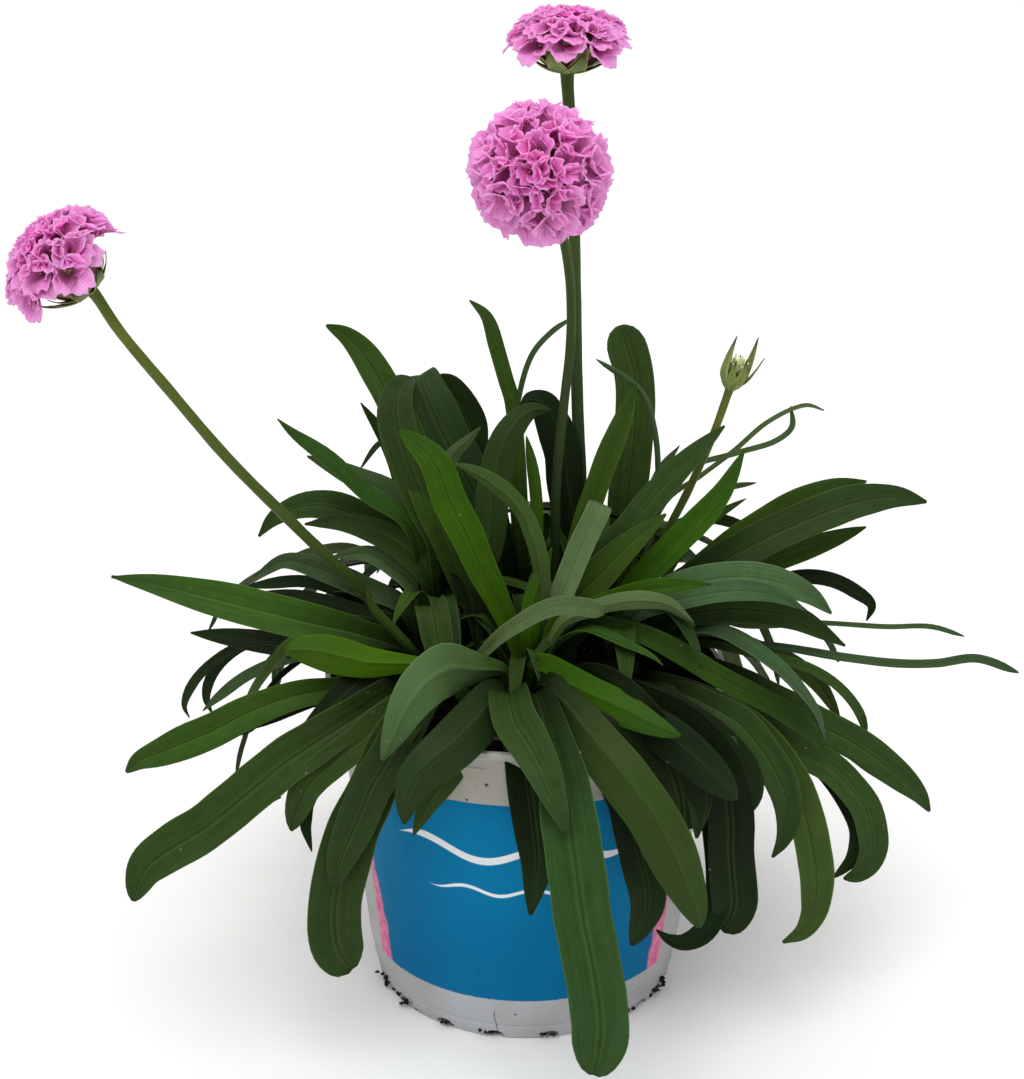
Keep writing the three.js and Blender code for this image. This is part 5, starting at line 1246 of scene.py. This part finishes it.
# Heads: foot is where the stalk leaves the soil, axis is where the head looks, and route is read like a leaf
heads = {
    "left": {
        "foot": (-44, 14), "axis": (-0.58, -0.3, 0.75), "turn": 0.4, "stalk": 2.0,
        "route": [(-61, 155, -3), (-83, 179, 2), (-107, 205.5, 6), (-127, 231.5, 9), (-143, 253, 11),
                  (-152, 267.5, 12)],
        "size": 1.12, "stretch": (1.05, 1.03, 1.08), "cup": 0.82, "longBracts": [(200, 17.0)],
        "florets": 38, "lowestTilt": 77, "glow": 0.85, "seed": 41, "greens": ("green", "headGreen"),
    },
    "top": {
        "foot": (16, 34), "axis": (0.02, -0.12, 1), "turn": 1.7, "stalk": 2.15,
        "route": [(20, 190, -22), (18.5, 225, -16), (17.5, 255, -10), (16.5, 290, -4), (15, 320, 0),
                  (13.6, 341.2, 0)],
        "size": 1.03, "stretch": (1.1, 1.1, 0.86), "cup": 1.0, "longBracts": [(-8, 18.5), (172, 15)],
        "florets": 36, "lowestTilt": 75, "glow": 1.0, "seed": 52, "greens": ("shadeGreen", "green"),
    },
    "front": {
        "foot": (13, 10), "axis": (-0.02, -0.95, 0.3), "turn": 3.1, "stalk": 1.7,
        "route": [(11, 190, -2), (13.5, 225, 2), (15.8, 250, 8), (14.8, 275, 18), (10, 295, 32),
                  (4.6, 305.8, 48)],
        "size": 1.13, "stretch": (1.02, 1.0, 1.0), "cup": 0.9, "longBracts": [],
        "florets": 50, "lowestTilt": 100, "glow": 1.0, "seed": 63, "greens": ("shadeGreen", "green"),
    },
}
budStalk = {
    "foot": (44, 20), "axis": (0.28, -0.05, 1), "turn": 0.5, "greens": ("green", "headGreen"),
    "route": [(45, 160, -16), (60, 196, -12), (67, 214, -8), (72.5, 232, -6)],
}


# Where a head sits: its turned axes and its seat on the stalk
def headPlace(head):
    lean = Vector((0, 0, 1)).rotation_difference(Vector(head["axis"]))
    turned = lean.to_matrix() @ Matrix.Rotation(head["turn"], 3, "Z")
    return np.array(turned), alongSight(head["route"][-1])


def addStalk(piece, head, radius):
    turned, seat = headPlace(head)
    inward = turned @ up
    foot = head["foot"]
    points = [(*foot, stalks["foot"]), (*foot, stalks["upright"])]
    points += [alongSight(reading) for reading in head["route"][:-1]]
    points += [seat - inward * stalks["seatBehind"], seat + inward * stalks["seatAhead"]]
    shares = np.linspace(0, 1, stalks["rows"])
    centres = curvePoints(points, shares)
    swell = (stalks["footSwell"] - stalks["thinning"] * smooth(0.1, 0.9, shares)
             + stalks["neckSwell"] * smooth(0.965, 1, shares))
    for pitch, depth in stalks["ripples"]:
        swell = swell + depth * np.sin(shares * pitch)
    radii = radius * swell
    low, high = (np.array(stalks[green][:3]) for green in head["greens"])
    mix = smooth(0.3, 0.95, shares)[:, None]
    middle, reach, strength = stalks["patch"]
    patch = np.exp(-((shares - middle) / reach) ** 2)[:, None] * strength
    colours = low * (1 - mix) + high * mix
    colours = colours * (1 - patch) + np.array(stalks["yellow"][:3]) * patch
    rows = np.concatenate([np.repeat(colours, stalks["sides"], axis=0), colours[:1], colours[-1:]])
    tones = np.concatenate([rows, np.full((len(rows), 1), 0.4)], -1)
    addTube(piece, centres, radii, stalks["sides"], None, tones, stalks["ridges"], stalks["ridgeDepth"])


# Bracts cupped round a head's axis: a route gives (radius, height) in mm from foot to tip
bracts = {
    "inner": {"count": 9, "width": 6.6, "green": paint(140, 132, 78),
              "route": [(3.0, 1.0), (5.8, 2.6), (8.6, 5.0), (10.2, 8.2), (10.9, 11.4)]},
    "middle": {"count": 8, "width": 7.8, "green": paint(120, 136, 54),
               "route": [(2.3, 0.2), (5.2, 1.3), (8.8, 3.0), (12.0, 6.0), (13.6, 9.4)]},
    "outer": {"count": 7, "width": 7.8, "green": paint(104, 126, 42),
              "route": [(2.1, -0.6), (4.8, 0.3), (8.4, 1.8), (12.0, 4.2), (15.0, 7.6)]},
    "longWidth": 5.2, "longGreen": paint(86, 92, 62), "longPoint": 1.6,
    "rows": 12, "columns": 9, "thickness": 0.3, "whorlTurn": 0.37, "stretch": (0.9, 1.12), "toneJitter": 0.12,
    "bearingJitter": 0.09,
    "nerve": paint(66, 78, 34), "keel": paint(70, 86, 36), "edge": paint(190, 184, 132),
    "tip": paint(62, 58, 44), "fleck": paint(120, 92, 60),
}


def addBract(piece, turned, seat, bearing, route, width, green, rng, pointed=2.2, curl=0.0):
    shares = np.linspace(0, 1, bracts["rows"])
    flat = curvePoints([(r, 0.0, z) for r, z in route], shares)
    across = np.linspace(-1, 1, bracts["columns"])
    half = width / 2 * (0.5 + 0.5 * smooth(0, 0.32, shares)) * (1 - 0.97 * shares ** pointed)
    radius = flat[:, :1]
    lean = rng.uniform(-0.05, 0.05) * shares[:, None]
    angle = bearing + lean + across * half[:, None] / np.maximum(radius, 0.55 * width)
    ripple = 0.14 * shares[:, None] * np.sin(across * 4 + rng.uniform(0, 6.3)) * half[:, None] / 3
    radius = radius + ripple + curl * shares[:, None] ** 2 * across ** 2
    grid = np.stack([radius * np.cos(angle), radius * np.sin(angle),
                     np.broadcast_to(flat[:, 2:], angle.shape) - 0.12 * half[:, None] * across ** 2], -1)
    place = np.stack([np.broadcast_to(across, angle.shape),
                      np.broadcast_to(shares[:, None], angle.shape), np.zeros(angle.shape)], -1)
    shade = math.exp(rng.gauss(0, bracts["toneJitter"]))
    tone = np.array([green[0] * shade, green[1] * shade, green[2] * shade, rng.random()])
    addLeafyGrid(piece, grid @ turned.T + seat, bracts["thickness"], place,
                 np.broadcast_to(tone, (*angle.shape, 4)))


def addInvolucre(piece, head, rng):
    turned, seat = headPlace(head)
    size = head["size"] * head["cup"]
    for part, whorl in enumerate(("inner", "middle", "outer")):
        b = bracts[whorl]
        for k in range(b["count"]):
            bearing = (k + bracts["whorlTurn"] * part) / b["count"] * 2 * math.pi
            bearing += rng.uniform(-bracts["bearingJitter"], bracts["bearingJitter"])
            stretch = rng.uniform(*bracts["stretch"])
            route = [(r * size * (1 if r < 3 else stretch), z * size) for r, z in b["route"]]
            addBract(piece, turned, seat, bearing, route, b["width"] * size, b["green"], rng)
    for degrees, reach in head["longBracts"]:
        aim = math.radians(degrees)
        toward = turned.T @ np.array([math.cos(aim), math.sin(aim), 0])
        bearing = math.atan2(toward[1], toward[0])
        route = [(2.0, -0.8), (6.0, 0.2), (10.5, 2.4), (reach * 0.86, 5.6), (reach, 9.0)]
        addBract(piece, turned, seat, bearing, route, bracts["longWidth"], bracts["longGreen"], rng,
                 pointed=bracts["longPoint"])


def stalkMaterial():
    material, shader = startMaterial("stalk_skin", {"Specular IOR Level": 0.2})
    across, along, _ = split(material, meshValue(material, "place"))
    tone = meshValue(material, "tone", "Color")
    place = objectPlace(material)
    fibrePlace = join(material, times(material, across, 9), times(material, along, 14), 0)
    fibres = speckle(material, fibrePlace, 1.6, 4, 0.6)
    grain = speckle(material, place, 700, 4)
    colour = blend(material, 1.0, tone, blend(material, fibres, (0.62, 0.62, 0.58, 1), (1.36, 1.34, 1.25, 1)),
                   "MULTIPLY")
    colour = blend(material, ramp(material, grain, 0.52, 0.72, 0, 0.3), colour, stalks["fleck"])
    height = plus(material, fibres, times(material, grain, 0.5))
    shine = ramp(material, grain, 0.3, 0.7, 0.42, 0.58)
    finishShader(material, shader, colour, shine, height, 0.12)
    return material


# Bracts: green middles with papery pale edges, dark tips and fine lengthwise nerves
def bractMaterial():
    b = bracts
    material, shader = startMaterial("bract_paper", {"Specular IOR Level": 0.3})
    across, along, _ = split(material, meshValue(material, "place"))
    tone = meshValue(material, "tone", "Color")
    span = reckon(material, "ABSOLUTE", across)
    grain = speckle(material, objectPlace(material), 900, 4)
    nerves = reckon(material, "SINE", times(material, across, 26))
    edge = plus(material, span, times(material, minus(material, grain, 0.5), 0.4))
    colour = blend(material, ramp(material, nerves, 0, 1, 0, 0.22), tone, b["nerve"])
    colour = blend(material, ramp(material, span, 0.16, 0.0, 0, 0.4), colour, b["keel"])
    colour = blend(material, ramp(material, edge, 0.72, 0.96, 0, 0.5), colour, b["edge"])
    colour = blend(material, ramp(material, along, 0.72, 0.97, 0, 0.75), colour, b["tip"])
    colour = blend(material, ramp(material, grain, 0.55, 0.75, 0, 0.35), colour, b["fleck"])
    finishShader(material, shader, colour, ramp(material, grain, 0.3, 0.7, 0.5, 0.7), nerves, 0.08)
    return material


# Flower heads: a dome of funnel-shaped florets, each of five broad waved petals
blooms = {
    # dome: its centre over the seat, and how far from it the mouths of the florets are
    "domeCentre": 8.5, "dome": (13.6, 16.6), "domeEase": 1.4, "reachSpread": 0.7, "firstShare": 0.4,
    "jitter": 0.045, "bearingJitter": 0.12, "spinJitter": 0.16, "opening": 0.25,
    # petals: each pair gives the value for the dome's top and for its side
    "petals": 5, "petalLength": (8.8, 10.4), "petalHalfWidth": (3.2, 4.0), "rimAngle": (50, 54),
    "petalFoot": 0.8, "footHalfWidth": 0.5, "widest": 0.82, "depth": 7.6, "lean": 0.22, "narrowing": 0.1,
    "tubeAngle": 12, "flare": 1.35, "droop": 25, "rimSpread": 6, "sizeSpread": (0.94, 1.06),
    "petalSpread": 0.09, "rows": 10, "columns": 15, "slopeSteps": 60, "thickness": 0.1,
    "corner": 0.22, "notch": 0.05, "teeth": ((5, 0.02), (11, 0.034)), "ruffle": (0.34, 0.25),
    "pleat": 0.07, "veins": 6.5, "lap": 0.4, "belly": 0.35, "twist": 0.1,
    "core": [(1.5, 4.2), (3, 6.8), (6, 8.6), (9.5, 9.4), (13, 8.6), (15.6, 6), (17, 2.4)],
    "coreSides": 30, "coreRidges": 12, "coreRidgeDepth": 0.05,
    "anthers": 4, "antherSpread": (0.6, 1.4), "antherHeight": (-4.2, -2.4), "antherFoot": 0.4,
    "antherShares": (0, 0.93, 0.97, 1.05, 1.1), "antherRadii": (0.1, 0.08, 0.3, 0.28, 0.08),
    "calyx": [(-13, 0.7), (-10, 0.95), (-8, 1.25), (-6.4, 1.75), (-5.6, 2.2)],
    "calyxSides": 12, "calyxRidges": 5, "calyxRidgeDepth": 0.12,
    # The throat colour is partly the florets' own deep magenta and partly painted shade deep in each funnel.
    "pinkTop": paint(255, 92, 200), "pinkSide": paint(255, 148, 225), "throat": paint(156, 34, 86),
    "flush": paint(238, 72, 170), "vein": paint(176, 34, 120), "rim": paint(255, 186, 236),
    "greenThroat": paint(150, 140, 84),
    "bluish": paint(236, 90, 210), "underside": paint(252, 140, 220), "fleck": paint(150, 96, 96),
    "antherCream": paint(236, 210, 206), "calyxGreen": paint(178, 178, 122), "coreTone": paint(150, 76, 104),
    "shadeJitter": 0.09, "toneSpread": 0.25,
}


def petalGrid(bearing, length, halfWidth, rimAngle, phase, rng):
    b = blooms
    v = np.linspace(0, 1, b["rows"])[:, None]
    u = np.linspace(-1, 1, b["columns"])[None, :]
    (coarse, coarseDepth), (fine, fineDepth) = b["teeth"]
    shape = 1 - b["corner"] * np.abs(u) ** 2.6 - b["notch"] * np.exp(-(u / 0.2) ** 2)
    shape = shape + coarseDepth * np.sin(u * coarse + phase) + fineDepth * np.cos(u * fine + phase * 1.7)
    reach = v * shape
    spans = b["slopeSteps"] - 1
    steps = np.linspace(0, 1, b["slopeSteps"])
    slope = np.radians(b["tubeAngle"] + (rimAngle - b["tubeAngle"]) * steps ** b["flare"])
    radial = b["petalFoot"] + np.concatenate([[0], np.cumsum(np.sin(slope[:-1]))]) * length / spans
    height = -b["depth"] + np.concatenate([[0], np.cumsum(np.cos(slope[:-1]))]) * length / spans
    radius, rise = np.interp(reach, steps, radial), np.interp(reach, steps, height)
    tilt = np.interp(reach, steps, slope)
    foot = b["footHalfWidth"]
    half = foot + (halfWidth - foot) * np.sin(np.minimum(v / b["widest"], 1) * math.pi / 2) ** 1.25
    slow, quick = b["ruffle"]
    ruffle = (slow * np.sin(u * 2.6 + phase) + quick * np.sin(u * 6.5 + phase * 2.3)) * v ** 2.8
    pleat = b["pleat"] * np.cos(b["veins"] * math.pi * u) * smooth(0.3, 1, v)
    lap = b["lap"] * u * v - b["belly"] * (1 - u ** 2) * v * (1 - v) + rng.uniform(-b["twist"], b["twist"])
    back = ruffle + lap + pleat
    angle = bearing + u * half / np.maximum(radius, 1.6)
    radius = radius + back * np.cos(tilt)
    rise = rise - back * np.sin(tilt)
    grid = np.stack([radius * np.cos(angle), radius * np.sin(angle), rise], -1)
    place = np.stack([np.broadcast_to(u, angle.shape), np.broadcast_to(v, angle.shape),
                      np.zeros(angle.shape)], -1)
    return grid, place


def addFloret(petals, trim, head, turned, seat, direction, reach, openness, rng):
    b = blooms
    size = head["size"]
    lean = np.array(Vector((0, 0, 1)).rotation_difference(Vector(direction)).to_matrix())
    spin = math.atan2(direction[1], direction[0]) + rng.gauss(0, b["spinJitter"])
    mouth = np.array([0, 0, b["domeCentre"]]) + direction * reach
    mix = np.clip(openness + rng.uniform(-b["toneSpread"], b["toneSpread"]), 0, 1)
    shade = math.exp(rng.gauss(0, b["shadeJitter"])) * head["glow"]
    pink = (np.array(b["pinkTop"][:3]) * (1 - mix) + np.array(b["pinkSide"][:3]) * mix) * shade
    tone = np.array([*pink, mix])
    for k in range(b["petals"]):
        bearing = spin + k * 2 * math.pi / b["petals"] + rng.uniform(-b["petalSpread"], b["petalSpread"])
        outward = lean @ np.array([math.cos(bearing), math.sin(bearing), 0])
        rim = between(b["rimAngle"], openness) - outward[2] * b["droop"]
        rim += rng.uniform(-b["rimSpread"], b["rimSpread"])
        length = between(b["petalLength"], openness) * (1 - b["lean"] * outward[2])
        length *= rng.uniform(*b["sizeSpread"])
        half = between(b["petalHalfWidth"], openness) * (1 - b["narrowing"] * outward[2])
        half *= rng.uniform(*b["sizeSpread"])
        grid, place = petalGrid(bearing, length, half, rim, rng.uniform(0, 6.3), rng)
        grid = (grid @ lean.T + mouth) * head["stretch"] * size
        addLeafyGrid(petals, grid @ turned.T + seat, b["thickness"], place,
                     np.broadcast_to(tone, (*grid.shape[:2], 4)))
    for k in range(b["anthers"]):
        bearing = spin + (k + 0.5) * 2 * math.pi / b["anthers"]
        around = np.array([math.cos(bearing), math.sin(bearing), 0])
        tip = around * rng.uniform(*b["antherSpread"]) + (0, 0, rng.uniform(*b["antherHeight"]))
        foot = around * b["antherFoot"] - (0, 0, b["depth"])
        line = np.stack([foot + (tip - foot) * share for share in b["antherShares"]])
        line = ((line @ lean.T + mouth) * head["stretch"] * size) @ turned.T + seat
        addTube(trim, line, np.array(b["antherRadii"]), 6, (0, 0.9, 0), (*b["antherCream"][:3], 0.0))
    tube = np.array([(0, 0, z) for z, _ in b["calyx"]], float)
    tube = ((tube @ lean.T + mouth) * head["stretch"] * size) @ turned.T + seat
    radii = np.array([r for _, r in b["calyx"]]) * size
    addTube(trim, tube, radii, b["calyxSides"], None, (*b["calyxGreen"][:3], 0.0), b["calyxRidges"],
            b["calyxRidgeDepth"])


def makeBloom(name, head, material, trimMaterial):
    b = blooms
    rng = random.Random(head["seed"])
    turned, seat = headPlace(head)
    petals, trim = newPiece(), newPiece()
    lowest = math.cos(math.radians(head["lowestTilt"]))
    for k in range(head["florets"]):
        rise = 1 - (k + b["firstShare"]) / head["florets"] * (1 - lowest)
        level = math.sqrt(max(0, 1 - rise * rise))
        bearing = k * goldenAngle + rng.uniform(-b["bearingJitter"], b["bearingJitter"])
        direction = np.array([level * math.cos(bearing), level * math.sin(bearing), rise])
        direction = unit(direction + [rng.gauss(0, b["jitter"]) for _ in range(3)])
        reach = between(b["dome"], level ** b["domeEase"])
        reach += rng.uniform(-b["reachSpread"], b["reachSpread"])
        openness = smooth(b["opening"], 1, level)
        addFloret(petals, trim, head, turned, seat, direction, reach, openness, rng)
    heights = np.array([(0, 0, z * head["stretch"][2]) for z, _ in b["core"]]) * head["size"]
    heights = heights @ turned.T + seat
    addTube(trim, heights, np.array([r for _, r in b["core"]]) * head["size"], b["coreSides"], None,
            (*b["coreTone"][:3], 0.0), b["coreRidges"], b["coreRidgeDepth"])
    makePiece("petals_" + name, petals, material, ["bloom_" + name])
    makePiece("floret_trim_" + name, trim, trimMaterial)


# Petals: throats of deep magenta that is partly their own colour and partly painted shade down each funnel,
# with fanned veins, paler toward their rims
def petalMaterial():
    b = blooms
    material, shader = startMaterial("petal_silk", {
        "Specular IOR Level": 0.05, "Sheen Weight": 0.02, "Sheen Roughness": 0.5,
        "Subsurface Weight": 0.6, "Subsurface Scale": 0.002, "Subsurface Radius": (1.0, 0.5, 0.8)})
    across, along, under = split(material, meshValue(material, "place"))
    tone = meshValue(material, "tone", "Color")
    mix = meshValue(material, "tone", "Alpha")
    grain = speckle(material, objectPlace(material), 700, 4)
    cloud = speckle(material, objectPlace(material), 160, 3)
    wander = times(material, minus(material, cloud, 0.5), 0.12)
    fan = times(material, plus(material, across, wander), 1.5 * b["veins"] * math.pi)
    fan = reckon(material, "COSINE", fan)
    lines = ramp(material, fan, 0.3, 1.0)
    reachIn = times(material, ramp(material, along, 1.0, 0.7), ramp(material, along, 0.1, 0.3))
    span = reckon(material, "ABSOLUTE", across)
    colour = blend(material, ramp(material, cloud, 0.3, 0.7, 0, 0.35), tone, b["bluish"])
    colour = blend(material, ramp(material, along, 0.94, 0.5, 0, 0.85), colour, b["flush"])
    patchy = times(material, reachIn, ramp(material, cloud, 0.3, 0.6, 0.2, 0.8))
    colour = blend(material, times(material, lines, patchy), colour, b["vein"])
    # The dark throat is partly the floret's own deep magenta and partly painted shade deep in the funnel;
    # open florets turn greenish there.
    deep = blend(material, times(material, ramp(material, mix, 0.8, 0.98), 0.8), b["throat"],
                 b["greenThroat"])
    flare = times(material, times(material, lines, cloud), 0.42)
    colour = blend(material, ramp(material, minus(material, along, flare), 0.62, 0.32), colour, deep)
    hem = reckon(material, "MAXIMUM", ramp(material, along, 0.9, 1.0),
                 times(material, ramp(material, span, 0.88, 1.0), ramp(material, along, 0.6, 0.85)))
    colour = blend(material, times(material, hem, 0.3), colour, b["rim"])
    colour = blend(material, times(material, ramp(material, under, 0.4, 0.6), 0.45), colour,
                   b["underside"])
    height = plus(material, lines, grain)
    finishShader(material, shader, colour, ramp(material, grain, 0.3, 0.7, 0.5, 0.68), height, 0.06)
    return material


def trimMaterial():
    material, shader = startMaterial("floret_trim", {"Specular IOR Level": 0.25})
    tone = meshValue(material, "tone", "Color")
    grain = speckle(material, objectPlace(material), 1100, 4)
    colour = blend(material, ramp(material, grain, 0.35, 0.7, 0, 0.4), tone, blooms["fleck"])
    finishShader(material, shader, colour, ramp(material, grain, 0.3, 0.7, 0.55, 0.75), grain, 0.08)
    return material


# The green bud: long pointed bracts round a frill of pale closed flowers
bud = {
    "receptacle": [(-0.4, 1.6), (0.2, 2.4), (1.6, 3.6), (3.2, 4.3), (4.4, 4.4), (5.2, 3.2), (5.6, 1.0)],
    "bracts": [(180, [(1.6, 0.2), (5.0, 4.6), (5.4, 11), (4.4, 19.8)], 5.6),
               (8, [(1.6, 0.2), (4.8, 4.6), (5.8, 11), (5.6, 20.2)], 5.4),
               (330, [(1.6, 0.2), (5.2, 4.4), (7.0, 9), (8.4, 14.2)], 4.6),
               (262, [(1.6, 0.2), (4.6, 4.0), (5.2, 8), (4.6, 13)], 5.2),
               (96, [(1.6, 0.2), (4.8, 4.4), (5.6, 10), (5.0, 17)], 5.2),
               (222, [(1.6, 0.2), (4.3, 4.0), (4.8, 8), (4.4, 11.5)], 4.8),
               (300, [(1.6, 0.2), (4.3, 4.0), (4.9, 8), (4.8, 10.5)], 4.8),
               (50, [(1.6, 0.2), (4.3, 4.0), (4.8, 8), (4.6, 12)], 4.8),
               (140, [(1.6, 0.2), (4.3, 4.0), (4.8, 8), (4.4, 12.5)], 4.8)],
    "petals": 16, "petalWidth": (2.2, 3.2), "petalHeight": 12.6, "petalSink": 0.22, "petalJitter": 0.8,
    "frillRadius": (0.5, 2.6),
    "green": paint(128, 146, 74), "pale": paint(206, 214, 160), "petalFoot": paint(150, 164, 92),
    "petalRim": paint(230, 228, 196), "fleck": paint(176, 168, 110),
}


def makeBud(bractMade):
    rng = random.Random(8)
    turned, seat = headPlace(budStalk)
    cup, frill = newPiece(), newPiece()
    heights = np.array([(0, 0, z) for z, _ in bud["receptacle"]], float) @ turned.T + seat
    addTube(cup, heights, np.array([r for _, r in bud["receptacle"]]), 24, None, (*bud["green"][:3], 0.4))
    for degrees, route, width in bud["bracts"]:
        addBract(cup, turned, seat, math.radians(degrees), route, width, bud["green"], rng, pointed=1.5)
    least, reach = bud["frillRadius"]
    for k in range(bud["petals"]):
        spread = least + reach * math.sqrt(k / bud["petals"])
        tall = bud["petalHeight"] - bud["petalSink"] * k
        tall += rng.uniform(-bud["petalJitter"], bud["petalJitter"])
        route = [(spread * 0.5, 5.0), (spread * 0.9, 7.4), (spread, 9.8), (spread * 1.15 + 0.4, tall)]
        addBract(frill, turned, seat, k * goldenAngle, route, rng.uniform(*bud["petalWidth"]), bud["pale"],
                 rng, pointed=5, curl=0.5)
    makePiece("bud_cup", cup, bractMade)
    makePiece("bud_frill", frill, frillMaterial(), ["bud_flowers"])


def frillMaterial():
    material, shader = startMaterial("bud_frill", {"Specular IOR Level": 0.25, "Subsurface Weight": 0.2,
                                                   "Subsurface Scale": 0.001})
    along = split(material, meshValue(material, "place"))[1]
    tone = meshValue(material, "tone", "Color")
    grain = speckle(material, objectPlace(material), 900, 4)
    colour = blend(material, ramp(material, along, 0.75, 0.2), tone, bud["petalFoot"])
    colour = blend(material, ramp(material, along, 0.86, 1.0, 0, 0.6), colour, bud["petalRim"])
    colour = blend(material, ramp(material, grain, 0.5, 0.75, 0, 0.3), colour, bud["fleck"])
    finishShader(material, shader, colour, ramp(material, grain, 0.3, 0.7, 0.5, 0.7), grain, 0.06)
    return material


def makeStalksAndBlooms():
    stalkMade, bractMade = stalkMaterial(), bractMaterial()
    petalMade, trimMade = petalMaterial(), trimMaterial()
    for name, head in heads.items():
        stem, cup = newPiece(), newPiece()
        addStalk(stem, head, head["stalk"])
        addInvolucre(cup, head, random.Random(head["seed"] + 1))
        makePiece("stalk_" + name, stem, stalkMade, ["scape_" + name])
        makePiece("bracts_" + name, cup, bractMade)
        makeBloom(name, head, petalMade, trimMade)
    stem = newPiece()
    addStalk(stem, budStalk, stalks["budRadius"])
    makePiece("stalk_bud", stem, stalkMade, ["scape_bud"])
    makeBud(bractMade)


setStage()
makePot()
makeSoil()
makeRootTufts(bpy.data.materials["peat"])
makeFoliage()
makeStalksAndBlooms()
